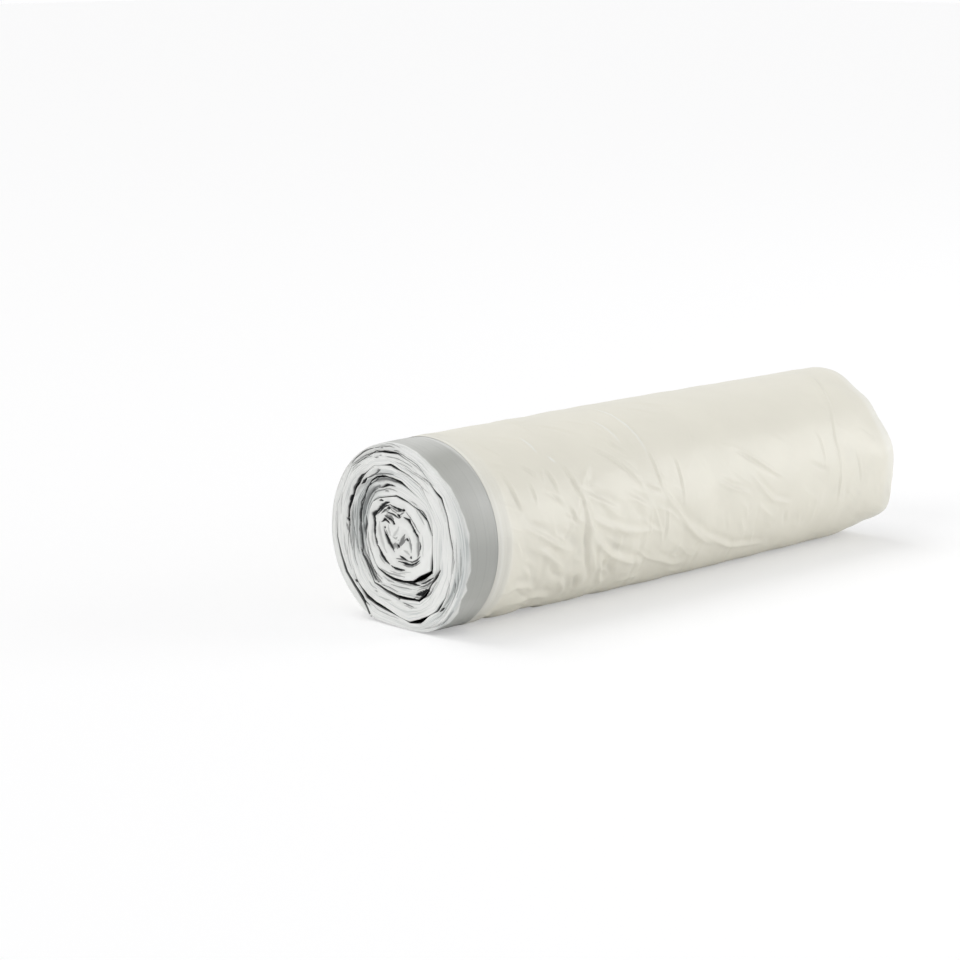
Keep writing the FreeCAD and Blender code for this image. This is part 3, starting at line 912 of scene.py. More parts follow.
# Where the layers of the turns part most: the angle and the distance from the centre as a share of the
# radius, the stretch of each, and how much.
LOOSE_PLACES = (
    (335, 0.93, 45, 0.08, 0.8), (25, 0.86, 30, 0.08, 0.7), (300, 0.64, 50, 0.10, 0.9),
    (125, 0.62, 22, 0.08, 0.8), (125, 0.93, 28, 0.08, 0.8), (215, 0.60, 28, 0.06, 0.6),
    (185, 0.52, 38, 0.06, 0.45), (255, 0.86, 30, 0.05, 0.35),
)


@dataclass(frozen=True)
class LipStyle:
    """How the edges of the stack look at one end.

    Attributes:
        layers: How many folded edges show across one turn.
        spacing: The distance between two stations along the winding.
        across: Places across one folded edge, from its near side at 0.
        unevenness: How far neighbouring edges stand past one another.
        groove: How deep the cracks between the edges are.
        lip: How far a turn's edge rounds over, and how deep.
        set_back: How far the end lies back from the roll's reach.
        under: How far the outermost turn's edge lies under the film.
        seed: Starts the random numbers.
        heart_grid: The number of rings of points on the heart, and of points round it.
    """

    layers: int
    spacing: float
    across: tuple[float, ...]
    unevenness: float
    groove: float
    lip: float
    set_back: float
    under: float
    seed: int
    heart_grid: tuple[int, int]


HEM_LIPS = LipStyle(
    layers=7, spacing=0.22, across=(0.0, 0.09, 0.24, 0.42, 0.6, 0.78, 0.91), unevenness=0.24, groove=0.6,
    lip=0.4, set_back=0.5, under=0.1, seed=11, heart_grid=(120, 720),
)
FOLD_LIPS = LipStyle(
    layers=4, spacing=0.8, across=(0.0, 0.08, 0.2, 0.5, 0.8, 0.92), unevenness=0.3, groove=0.5,
    lip=0.8, set_back=0.7, under=0.9, seed=23, heart_grid=(60, 360),
)


@dataclass
class WoundEnd:
    """One end of the roll: the folded edges of every turn, the gaps between the turns, and the heart.

    Attributes:
        form: The roll's form.
        end: Which end it is.
        style: How its edges look.
        wall_depths: How deep the walls of the gaps are followed.
        wall_start: How far the first of these lies at least below the lip.
        fade: The depth over which a gap's walls are painted dark, as painted shade.
        films: The number of grey lines of painted shade at the seams of single films across a turn.
    """

    form: RollForm
    end: End
    style: LipStyle
    wall_depths: tuple[float, ...] = (14.0, 8.0, 4.5, 2.6, 1.5)
    wall_start: float = 0.15
    fade: float = 0.16
    films: int = 26

    def walls(self) -> tuple[Array, Array, Array]:
        """The two sides of the stack, all along the winding.

        Returns:
            The angle along the winding at each station, and the Y and Z of the stack's outer and inner
            side there.
        """
        form = self.form
        angle = np.arange(form.free_edge, form.last_angle, FINE_STEP)
        inner = form.place(angle, form.gap(angle) + form.half_gap(angle))
        back = angle - 360.0
        within = form.gap(back) - form.half_gap(back)
        dip = form.shoulder(angle, form.hem_x)
        if self.end is End.FOLDED:
            dip = np.maximum(form.dented(angle), -0.6)
        lip = form.outline(angle) - self.style.under - dip
        outer = form.place(angle, np.where(back < form.free_edge, lip, within))
        run = run_of((inner + outer) / 2)
        stations = np.arange(0.0, run[-1], self.style.spacing)
        sides = (on_line(side, run, stations) for side in (outer, inner))
        return np.interp(stations, run, angle), *sides

    def recess(self, angle: Array, share: Array) -> Array:
        """How far the end's lips lie back, from place to place.

        Args:
            angle: Angles round the roll.
            share: Distances from the round's centre, as shares of the radius.

        Returns:
            The depth at each place.
        """
        if self.end is End.FOLDED:
            return self.style.set_back + self.form.fold_back(angle) * ramp(share, 0.5, 0.9)
        outer = bells(angle, (272.0, 52.0, 0.8), (214.0, 26.0, 0.7))
        valley = round_bump(angle, 285.0, 46.0) * bump(share, 0.55, 0.16)
        return self.style.set_back + outer * ramp(share, 0.55, 0.8) + valley

    def shade(self, angle: Array, share: Array) -> Array:
        """Painted shade in the valley and at the steps, and a greyer outer rim on the right.

        Args:
            angle: Angles round the roll.
            share: Distances from the round's centre, as shares of the radius.

        Returns:
            The darkness at each place.
        """
        valley = round_bump(angle, 287.0, 40.0) * ramp(share, 0.78, 0.66) * ramp(share, 0.46, 0.50)
        steps = round_bump(angle, 335.0, 25.0) * bump(share, 0.66, 0.05)
        rim = round_bump(angle, 105.0, 45.0) * ramp(share, 0.84, 0.90)
        return 0.48 * valley + 0.12 * steps + 0.38 * rim

    def streaks(self, run: Array, share: Array, rng: Random) -> Array:
        """Painted shade in grey lines at the seams of the folded edges of single films, along the turns.

        Args:
            run: How far along the winding each station is.
            share: How far across the turn each point is, from 0 to 1, stations by points.
            rng: The source of random numbers.

        Returns:
            The darkness at each point.
        """
        dark = [unsteady(run, (1.0, 16.0), (0.6, 5.0), rng) for _ in range(self.films + 1)]
        dark = np.stack(dark, axis=1)
        at = np.clip(share, 0.0, 1.0) * self.films
        low = np.minimum(at.astype(int), self.films - 1)
        stations = np.arange(len(run))[:, None]
        part = at - low
        mixed = dark[stations, low] * (1.0 - part) + dark[stations, low + 1] * part
        return 0.5 * np.clip(mixed - 0.1, 0.0, 0.9)

    def looseness(self, angle: Array, share: Array) -> Array:
        """How much the layers part, from place to place.

        Args:
            angle: Angles round the roll.
            share: Distances from the round's centre, as shares of the radius.

        Returns:
            From 0, where they lie close, to 1.
        """
        total = 0.0
        for middle, far, turn, reach, amount in LOOSE_PLACES:
            total = total + amount * round_bump(angle, middle, turn) * bump(share, far, reach)
        return np.clip(total, 0.0, 1.0)

    def carve(self, flat: Array, cracks: tuple[Crack, ...], depth: Array, hollow: Array, rng: Random) -> None:
        """Carves cracks into the end, darkened with painted shade.

        Args:
            flat: The Y and Z of each point.
            cracks: The cracks.
            depth: The depth at each point, which is changed.
            hollow: The painted shade at each point, which is changed.
            rng: The source of random numbers.
        """
        spots = np.stack([-flat[..., 0], flat[..., 1] - self.form.centre_up], axis=-1).reshape(-1, 2)
        deep, dark = depth.ravel(), hollow.ravel()
        for crack in cracks:
            crack.carve(spots, self.form.radius, deep, dark, rng)
        depth[...] = deep.reshape(depth.shape)
        hollow[...] = dark.reshape(hollow.shape)

    def points(self, flat: Array, depth: Array) -> Array:
        """Puts a depth behind the end's plane to each place.

        Args:
            flat: The Y and Z of each point.
            depth: Its depth.

        Returns:
            The points.
        """
        along = self.end.value * (self.form.half_length - depth)
        return np.concatenate([along[..., None], flat], axis=-1)

    def layers(self, run: Array, rng: Random) -> tuple[Array, Array, Array]:
        """Lays out the points across the stack, some on each of its layers.

        Args:
            run: How far along the winding each station is.
            rng: The source of random numbers.

        Returns:
            How far across the stack each point is, stations by points. Then, for each point across, how
            far across its own layer it is, and the number of that layer.
        """
        count, across = self.style.layers, self.style.across
        cuts = [np.zeros_like(run)]
        for k in range(1, count):
            cuts.append((k + unsteady(run, (0.18, 30.0), (0.10, 7.0), rng) * 1.6) / count)
        cuts.append(np.ones_like(run))
        share = [cuts[k] + at * (cuts[k + 1] - cuts[k]) for k in range(count) for at in across]
        seam = np.array([*across] * count + [0.0])
        layer = np.append(np.repeat(np.arange(count), len(across)), count - 1)
        return np.stack([*share, cuts[-1]], axis=1), seam, layer

    def parted(
        self, run: Array, seam: Array, layer: Array, loose: Array, rng: Random
    ) -> tuple[Array, Array, Array]:
        """How the layers stand past one another and part.

        Args:
            run: How far along the winding each station is.
            seam: How far across its own layer each point is.
            layer: The number of that layer.
            loose: How much the layers part, stations by points.
            rng: The source of random numbers.

        Returns:
            How far each point lies back with its layer, how deep it lies in a crack beside the layer, and
            how dark it is painted there, as painted shade in the crack.
        """
        style = self.style
        back = [unsteady(run, (0.7, 19.0), (0.3, 6.0), rng) for _ in range(style.layers)]
        back = np.stack(back, axis=1)[:, layer] * style.unevenness * (0.35 + 1.3 * loose)
        none = np.zeros_like(run)
        cracks = [unsteady(run, (0.5, 23.0), (0.5, 9.0), rng) for _ in range(style.layers - 1)]
        nearest = np.stack([none, *cracks, none], axis=1)[:, layer + (seam > 0.5)]
        nearest[:, -1] = 0.0
        apart = np.clip(nearest * 0.8 + 1.1 * loose - 0.62, 0.0, 1.0)
        beyond = np.minimum(seam, 1.0 - seam) * 2.0
        bow = 1.0 - np.sqrt(np.clip(1.0 - (1.0 - beyond) ** 2, 0.0, 1.0))
        return back, bow * style.groove * (0.12 + apart), 0.9 * apart * np.clip(1.0 - beyond / 0.3, 0.0, 1.0)

    def wall(self, top: Array, covered: Array | bool = False) -> tuple[Array, Array]:
        """Follows a side of the stack down into the gap.

        Args:
            top: The depth of the stack's lip at each station.
            covered: Where the outer film covers this side, which gets no painted shade there.

        Returns:
            The depth and the painted shade of each point of the wall, stations by points, the deepest first.
        """
        levels = np.stack([np.maximum(top + self.wall_start, deep) for deep in self.wall_depths], axis=1)
        dark = 1.0 - np.exp(-(levels - top[:, None]) / self.fade)
        return levels, np.where(covered, 0.0, dark)

    def turns(self) -> list[Piece]:
        """Builds the turns' edges, from the free edge to the heart.

        Returns:
            The pieces.
        """
        style, form = self.style, self.form
        rng = np.random.default_rng(style.seed)
        angle, outer, inner = self.walls()
        run = np.arange(len(angle)) * style.spacing
        thickness = np.linalg.norm(inner - outer, axis=1)[:, None]
        share, seam, layer = self.layers(run, rng)

        flat = outer[:, None, :] * (1.0 - share[..., None]) + inner[:, None, :] * share[..., None]
        away = np.linalg.norm(flat - (0.0, form.centre_up), axis=-1) / form.radius
        turned = np.broadcast_to(angle[:, None] % 360.0, away.shape)
        depth = self.recess(turned, away) + 0.15 * eased(run, 40.0, rng)[:, None]
        back, groove, hollow = self.parted(run, seam, layer, self.looseness(turned, away), rng)
        depth = depth + back + groove

        lip = np.minimum(style.lip, 0.4 * thickness) + 1e-3
        outside = angle - 360.0 < form.free_edge
        inside = ~outside * form.openness(angle - 360.0)
        # Painted shade where each turn's lip rounds over into an open gap.
        for edge, open_here in ((share, inside), (1.0 - share, form.openness(angle))):
            rounded = np.clip(1.0 - edge * thickness / lip, 0.0, 1.0) ** 2 * open_here[:, None]
            depth = depth + lip * rounded
            hollow = np.maximum(hollow, rounded**2.5)
        if self.end is End.HEMMED:
            self.carve(flat, TURN_CRACKS, depth, hollow, rng)
        # Painted shade in the recesses and at the seams of single films, with fewer seam lines at the top.
        plain = round_bump(turned, 345.0, 32.0) * ramp(away, 0.78, 0.88)
        tint = self.shade(turned, away) + self.streaks(run, share, rng) * (1.0 - 0.65 * plain)

        near_levels, near_dark = self.wall(depth[:, 0], outside[:, None])
        far_levels, far_dark = self.wall(depth[:, -1])
        walls = len(self.wall_depths)
        flat = np.pad(flat, ((0, 0), (walls, walls), (0, 0)), mode="edge")
        tint = np.pad(tint, ((0, 0), (walls, walls)), mode="edge")
        depth = np.concatenate([near_levels, depth, far_levels[:, ::-1]], axis=1)
        hollow = np.concatenate([near_dark, hollow, far_dark[:, ::-1]], axis=1)
        name = f"{self.end.name.lower()}_end"
        names = (f"{name}_outer_turns", f"{name}_inner_turns")
        return two_pieces(names, self.points(flat, depth), hollow=hollow, tint=tint)

    def heart(self) -> Piece:
        """Builds the folded heart.

        Returns:
            The piece.
        """
        style, form = self.style, self.form
        rng = np.random.default_rng(style.seed + 1)
        rows, columns = style.heart_grid
        angle = np.linspace(0.0, 360.0, columns + 1)
        rim = form.heart_rim(angle)
        share = np.linspace(0.01, 1.0, rows)[:, None]
        flat = form.place(angle, share * rim)
        across, up = -flat[..., 0], flat[..., 1] - form.centre_up
        depth = style.set_back + 0.2 * facets(across, up, 7.0, rng) + 0.1 * facets(across, up, 3.0, rng)
        depth = depth + 0.6 * bump(across, 4.3, 2.4) * bump(up, -2.0, 2.6)
        along = form.last_angle - (form.last_angle - angle) % 360.0
        rounded = np.clip(1.0 - (1.0 - share) * rim / style.lip, 0.0, 1.0) ** 2
        depth = depth + style.lip * rounded * form.openness(along)
        # Painted shade along the heart's cracks and down its rim's wall.
        hollow = np.zeros_like(depth)
        self.carve(flat, HEART_CRACKS, depth, hollow, rng)
        levels, dark = (values.T[::-1] for values in self.wall(depth[-1]))
        flat = np.concatenate([flat, np.repeat(flat[-1:], len(levels), 0)])
        depth = np.concatenate([depth, levels])
        hollow = np.concatenate([hollow, dark])
        name = f"{self.end.name.lower()}_end_heart"
        return grid_piece(name, self.points(flat, depth), hollow=hollow, tint=np.zeros_like(hollow))

    def build(self) -> list[Piece]:
        """Builds the end.

        Returns:
            The pieces.
        """
        return [*self.turns(), self.heart()]


# ---------------- the outer film


@dataclass(frozen=True)
class Fold:
    """A crease of the film, along a line of points.

    Attributes:
        line: Points on the film: X from the hemmed end in roll radii, and the angle.
        height: How far it stands out, or below 0 how far it lies in.
        width: Half of its width.
        trough: How deep the film dips beside it, as a share of its height.
        painted_highlight: How much paler its crest is painted, as a painted highlight.
    """

    line: tuple[tuple[float, float], ...]
    height: float
    width: float
    trough: float = 0.35
    painted_highlight: float = 0.0


# The creases of the film: the points of each, X in hundredths of a radius and the angle in turn, and
# then as in Fold.
FOLD_ROWS = (
    # the long crease from the top to the floor, which forks low down
    ((280, 2, 282, 12, 285, 18, 286, 28, 288, 40, 287, 52), 0.5, 0.45, 0.6, 0.8),
    ((287, 48, 288, 66, 290, 74, 297, 83), -0.47, 0.55, 0.6),
    ((293, 79, 310, 89, 333, 102, 350, 109, 368, 115, 390, 120), 0.94, 1.1, 0.5),
    ((330, 96, 345, 103, 360, 109, 380, 115, 400, 120, 420, 125, 490, 131), 0.79, 1, 0.5),
    # the creases that run down to it
    ((250, 20, 254, 28, 257, 36, 258, 42), 0.45, 0.5, 0.6, 0.6),
    ((236, 37, 247, 45, 260, 52), -0.34, 0.6),
    ((212, 42, 220, 46, 233, 53, 245, 59, 252, 64, 260, 71), -0.55, 0.7, 0.6),
    ((266, 71, 274, 74, 284, 76, 298, 82), -0.51, 0.6, 0.6),
    ((175, 14, 195, 24, 210, 31), -0.22, 0.8),
    ((162, -15, 160, 0, 160, 12, 160, 22), 0.34, 0.6),
    ((135, 24, 137, 31, 138, 38), 0.45, 0.45, 0.6, 0.8),
    ((149, 42, 153, 47), 0.3, 0.4, 0.6, 0.9),
    # the deep crease near the hem and the bulges beside it
    ((158, 49, 162, 57, 164, 64, 169, 70, 171, 78), -0.59, 0.7, 0.6),
    ((170, 74, 170, 86, 172, 98, 179, 112, 192, 124), -0.79, 0.9, 0.7),
    ((174, 86, 183, 96, 197, 103, 216, 110, 236, 115, 270, 122), 1.3, 1.3, 0.5),
    ((170, 78, 185, 86, 200, 90, 225, 95, 250, 98, 285, 100), 0.65, 1.1, 0.5),
    ((188, 90, 205, 96, 230, 100, 260, 103), -0.58, 1.7, 0.2),
    ((178, 70, 202, 77, 225, 84), 0.72, 1.1, 0.6),
    ((235, 76, 250, 79, 266, 84), 0.58, 1, 0.6),
    ((245, 83, 255, 88, 260, 94), -0.5, 1.4, 0.2),
    ((195, 52, 186, 58, 175, 64), 0.58, 1.2, 0.4),
    ((85, 82, 110, 90, 133, 97, 157, 103), 0.86, 1, 0.5),
    ((102, 96, 122, 103, 140, 110), 1.15, 1.3, 0.5),
    ((118, 107, 132, 114, 150, 119), -0.72, 1.4, 0.2),
    ((145, 120, 155, 126, 164, 134), 1.01, 1.2, 0.6),
    ((168, 119, 174, 125, 180, 132), -0.86, 1.3, 0.4),
    ((185, 104, 190, 112, 198, 120), 0.68, 0.6),
    ((198, 110, 203, 118, 210, 126, 222, 133), 1.08, 1.1, 0.6),
    ((214, 112, 222, 121, 234, 128), -0.79, 1.2, 0.3),
    ((245, 135, 280, 132), 0.5, 1),
    ((278, 117, 300, 122, 330, 129, 350, 131), 0.72, 1.1),
    ((326, 111, 320, 121), 0.36, 1),
    ((62, 122, 80, 118, 100, 120, 115, 127), 0.72, 1.2),
    ((82, 133, 120, 130, 145, 135), 0.86, 1.4),
    ((80, 104, 92, 110, 100, 117), 0.5, 1),
    # thin creases near the hem
    ((133, 50, 136, 57, 138, 64), -0.42, 0.6, 0.6),
    ((130, 48, 126, 57), 0.42, 0.5),
    ((120, 63, 135, 69, 140, 73), -0.42, 0.7, 0.6),
    ((150, 76, 156, 85), -0.59, 0.6, 0.6),
    ((104, 45, 117, 54), -0.38, 0.6, 0.6),
    ((102, 56, 103, 63, 102, 69), -0.38, 0.5, 0.6),
    ((72, 48, 76, 60, 80, 72), -0.38, 0.55, 0.6),
    ((60, 79, 80, 83), 0.21, 0.4),
    ((67, 87, 78, 98), 0.34, 0.7),
    # thin creases round the roll
    ((322, 58, 322, 74, 322, 88), -0.38, 0.5, 0.6),
    ((272, 83, 272, 105), 0.3, 0.45),
    ((295, 85, 296, 107), -0.42, 0.5),
    ((228, 97, 228, 111), 0.3, 0.7),
    # the far half
    ((418, 60, 442, 69, 455, 74, 471, 80, 492, 86), -0.56, 0.55, 0.7),
    ((438, 78, 452, 87, 462, 92, 475, 97, 505, 102), 0.65, 0.85, 0.6),
    ((382, 78, 402, 84, 420, 87, 434, 90), 0.59, 0.7, 0.6),
    ((413, 93, 427, 97, 433, 106), 0.29, 0.8),
    ((420, 105, 435, 116), 0.36, 1),
    ((448, 98, 465, 104, 480, 109), 0.43, 1),
    ((500, 107, 508, 117), -0.43, 0.9),
    ((540, 78, 555, 82, 570, 86), -0.29, 0.8),
    ((563, 56, 566, 66, 566, 77, 564, 84), -0.28, 0.42, 0.6),
    ((642, 8, 627, 24, 617, 35, 610, 46), 0.42, 0.7, 0.5),
    ((610, 43, 598, 56, 592, 65, 593, 80, 593, 95, 594, 109), -0.4, 0.42, 0.6),
    ((625, 77, 628, 86, 633, 98), -0.34, 0.5),
    ((605, 98, 610, 108), -0.29, 1.2),
)
FOLDS = tuple(
    Fold(tuple((x / 100.0, angle) for x, angle in zip(line[::2], line[1::2])), *rest)
    for line, *rest in FOLD_ROWS
)


@dataclass
class FilmSkin:
    """The outer film of the roll, between the tape and the folded end.

    Attributes:
        form: The roll's form.
        spacing: The distance between two neighbouring points.
        seed: Starts the random numbers.
        rim: The rounding of the film at the folded end.
        overlap: How far the film reaches under the tape.
        clearance: How far its underside stays above the ground.
        opening: The angle left open between the free edge and the start of the film.
        small_folds: The number of small creases.
        ring_spacing: The distance between two rings of the seal beside the tape.
    """

    form: RollForm
    spacing: float = 0.6
    seed: int = 5
    rim: float = 2.0
    overlap: float = 0.6
    clearance: float = 0.03
    opening: float = 4.0
    small_folds: int = 260
    ring_spacing: float = 1.35

    def axes(self) -> tuple[Array, Array]:
        """The places of the grid's points along the roll and round it.

        Returns:
            The X of each row and the angle of each column.
        """
        form = self.form
        rows = int((form.half_length - form.tape_end) / self.spacing)
        along = np.linspace(form.tape_end - self.overlap, form.half_length, rows)
        columns = int(2 * math.pi * form.radius / self.spacing)
        return along, np.linspace(form.free_edge, form.free_edge + 360.0 - self.opening, columns)

    def add_fold(self, relief: Array, painted_highlight: Array, along: Array, angle: Array, fold: Fold) -> None:
        """Adds a crease to the relief, with a painted highlight along its crest.

        Args:
            relief: The film's relief, which is changed.
            painted_highlight: The painted highlight on the film, which is changed.
            along: The X of each row.
            angle: The angle of each column.
            fold: The crease.
        """
        form = self.form
        arc = math.radians(form.radius)
        line = np.array([(form.hem_x + form.radius * x, turned % 360.0) for x, turned in fold.line])
        turned = np.unwrap(line[:, 1], period=360.0)
        turned += 360.0 * np.ceil((form.free_edge - turned.min()) / 360.0)
        line = np.stack([line[:, 0], turned * arc], axis=1)
        reach = 5.0 * fold.width + 1.0
        low, high = line.min(axis=0) - reach, line.max(axis=0) + reach
        rows = np.flatnonzero((along >= low[0]) & (along <= high[0]))
        columns = np.flatnonzero((angle * arc >= low[1]) & (angle * arc <= high[1]))
        if not len(rows) or not len(columns):
            return
        spots = np.stack(np.meshgrid(along[rows], angle[columns] * arc, indexing="ij"), axis=-1)
        apart, share, side = beside(spots, line)
        taper = np.sin(np.pi * np.clip(share, 0.02, 0.98)) ** 0.6
        crest = np.exp(-((apart / fold.width) ** 1.6))
        dip = fold.trough * bump(side, 2.1 * fold.width, 1.3 * fold.width)
        relief[np.ix_(rows, columns)] += fold.height * taper * (crest - dip)
        edge = np.exp(-((apart / min(fold.width, 0.5)) ** 2))
        painted_highlight[np.ix_(rows, columns)] += fold.painted_highlight * taper * edge

    def random_folds(self, rng: Random) -> list[Fold]:
        """The small creases, most of them low on the roll near the hem.

        Args:
            rng: The source of random numbers.

        Returns:
            The creases.
        """
        folds = []
        while len(folds) < self.small_folds:
            x, angle = rng.uniform(0.55, 6.9), rng.uniform(0.0, 360.0)
            low = bump(angle, 105.0, 42.0) + 0.45 * bump(angle, 290.0, 50.0)
            near = bump(x, 1.9, 2.1)
            if rng.uniform() > 0.10 + 0.9 * low * (0.25 + 0.75 * near):
                continue
            slant = rng.choice([0.62, 0.5, 2.2, -1.6, 6.0], p=[0.4, 0.2, 0.2, 0.08, 0.12])
            length = rng.uniform(0.10, 0.55)
            step = length / math.hypot(1.0, slant)
            turn = math.degrees(step * slant)
            bend = rng.uniform(-5.0, 5.0) * length
            line = ((x - step / 2, angle - turn / 2), (x, angle + bend), (x + step / 2, angle + turn / 2))
            height = rng.uniform(0.08, 0.42) * (0.35 + 0.8 * low * near) * rng.choice([1.0, -0.8])
            folds.append(Fold(line, height, rng.uniform(0.4, 1.3), rng.uniform(0.2, 0.7)))
        return folds

    def crumple(self, along: Array, angle: Array, rng: Random) -> Array:
        """The facets of the crumpled film.

        Args:
            along: The X of each row.
            angle: The angle of each column.
            rng: The source of random numbers.

        Returns:
            The relief of the facets.
        """
        x = along[:, None]
        y = (angle * math.radians(self.form.radius))[None, :]
        warp_x = 3.0 * np.sin(x / 17.0 + 1.3) * np.sin(y / 13.0) + 1.2 * np.sin(x / 6.1) * np.cos(y / 7.3)
        warp_y = 3.0 * np.cos(x / 15.0) * np.sin(y / 19.0 + 0.7)
        warp_y = warp_y + 1.2 * np.cos(x / 7.7 + 2.0) * np.sin(y / 5.3)
        sizes = ((19.0, 0.9), (10.0, 0.25), (5.0, 0.07), (2.8, 0.025))
        return sum(tall * facets(x + warp_x, y + warp_y, size, rng) for size, tall in sizes)

    def shape(self) -> tuple[Array, Array, Array, Array]:
        """The film's relief over the whole grid.

        Returns:
            The X of each row, the angle of each column, the relief, and how much paler the film is painted:
            the whiter seal, and painted highlights on crease crests and on the upper rim at the folded end.
        """
        form = self.form
        rng = np.random.default_rng(self.seed)
        along, angle = self.axes()
        x = along[:, None]
        turned = np.broadcast_to(angle[None, :], (len(along), len(angle)))
        from_hem = (x - form.hem_x) / form.radius
        low = bells(turned, (105.0, 42.0, 1.0), (285.0, 50.0, 0.5))
        busy = low * (0.3 + 0.7 * bump(from_hem, 1.6, 1.9))
        relief = self.crumple(along, angle, rng) * (0.10 + 0.75 * busy)
        near_floor = round_bump(turned, 160.0, 22.0) * bump(from_hem, 1.5, 0.9)
        relief -= 2.4 * near_floor * np.clip(eased(x + 0.08 * turned, 5.0, rng), 0.0, 1.0)
        painted_highlight = np.zeros_like(relief)
        for fold in (*FOLDS, *self.random_folds(rng)):
            self.add_fold(relief, painted_highlight, along, angle, fold)
        past_tape = x - form.tape_end
        wavy = 0.6 * np.sin(np.radians(turned) * 3.0)
        rings = 0.16 * np.cos(past_tape * 2 * math.pi / self.ring_spacing + wavy)
        rings = rings * ramp(past_tape, 0.6, 1.2) * ramp(past_tape, 6.2, 5.0)
        relief = relief * ramp(past_tape, 0.0, 7.0) + rings
        relief += 0.6 * bump(from_hem, 3.4, 2.3)
        seal = 0.3 * ramp(past_tape, 2.8, 1.2) + 0.34 * ramp(past_tape, 7.5, 4.5)
        to_end = form.half_length - x
        # Painted highlight on the upper side of the film's rounded rim at the folded end.
        far_rim = 0.4 * ramp(to_end, 7.0, 3.0) * round_bump(turned, 62.0, 60.0)
        pale = painted_highlight + far_rim + seal * (0.35 + 0.65 * round_bump(turned, 108.0, 48.0))
        return along, angle, relief, np.clip(pale, 0.0, 1.0)

    def build(self) -> list[Piece]:
        """Builds the film in two pieces, each light enough to handle.

        Returns:
            The pieces.
        """
        form = self.form
        along, angle, relief, pale = self.shape()
        x = along[:, None]
        to_end = form.half_length - x
        curl = self.rim - np.sqrt(np.maximum(self.rim**2 - np.maximum(self.rim - to_end, 0.0) ** 2, 0.0))
        dent = form.dented(angle) * ramp(to_end, 17.0, 1.0)
        flat = form.place(angle, form.outline(angle) + relief - curl - dent)
        flat[..., 1] = np.maximum(flat[..., 1], self.clearance + 0.02 * relief)
        past_tape = x - form.tape_end
        x = x - form.fold_back(angle) * ramp(to_end, 30.0, 0.0)
        points = np.concatenate([x[..., None], flat], axis=-1)
        # Painted shade in the creases, where the relief lies low.
        hollow = 0.35 * np.clip(0.1 - relief, 0.0, 1.0)
        # Beside the tape on the lower side the film is greyer: partly painted shade, partly the grey tape
        # seen through the film, with grey lines at the seal's rings.
        seal = np.maximum(0.62 * ramp(past_tape, 2.6, 0.4), 0.4 * ramp(past_tape, 7.0, 3.6))
        lines = 0.16 * sum(bump(past_tape, at, 0.22) for at in (1.5, 3.4, 4.6))
        hollow = np.maximum(hollow, (seal + lines) * round_bump(angle, 106.0, 48.0))
        return two_pieces(("film_near_hem", "film_near_folds"), points, hollow=hollow, tint=pale)


# ---------------- the tape and the painted shade inside

# Where the tape's streaks gather: the middle angle and the stretch.
LOW_SIDE = (150.0, 58.0)


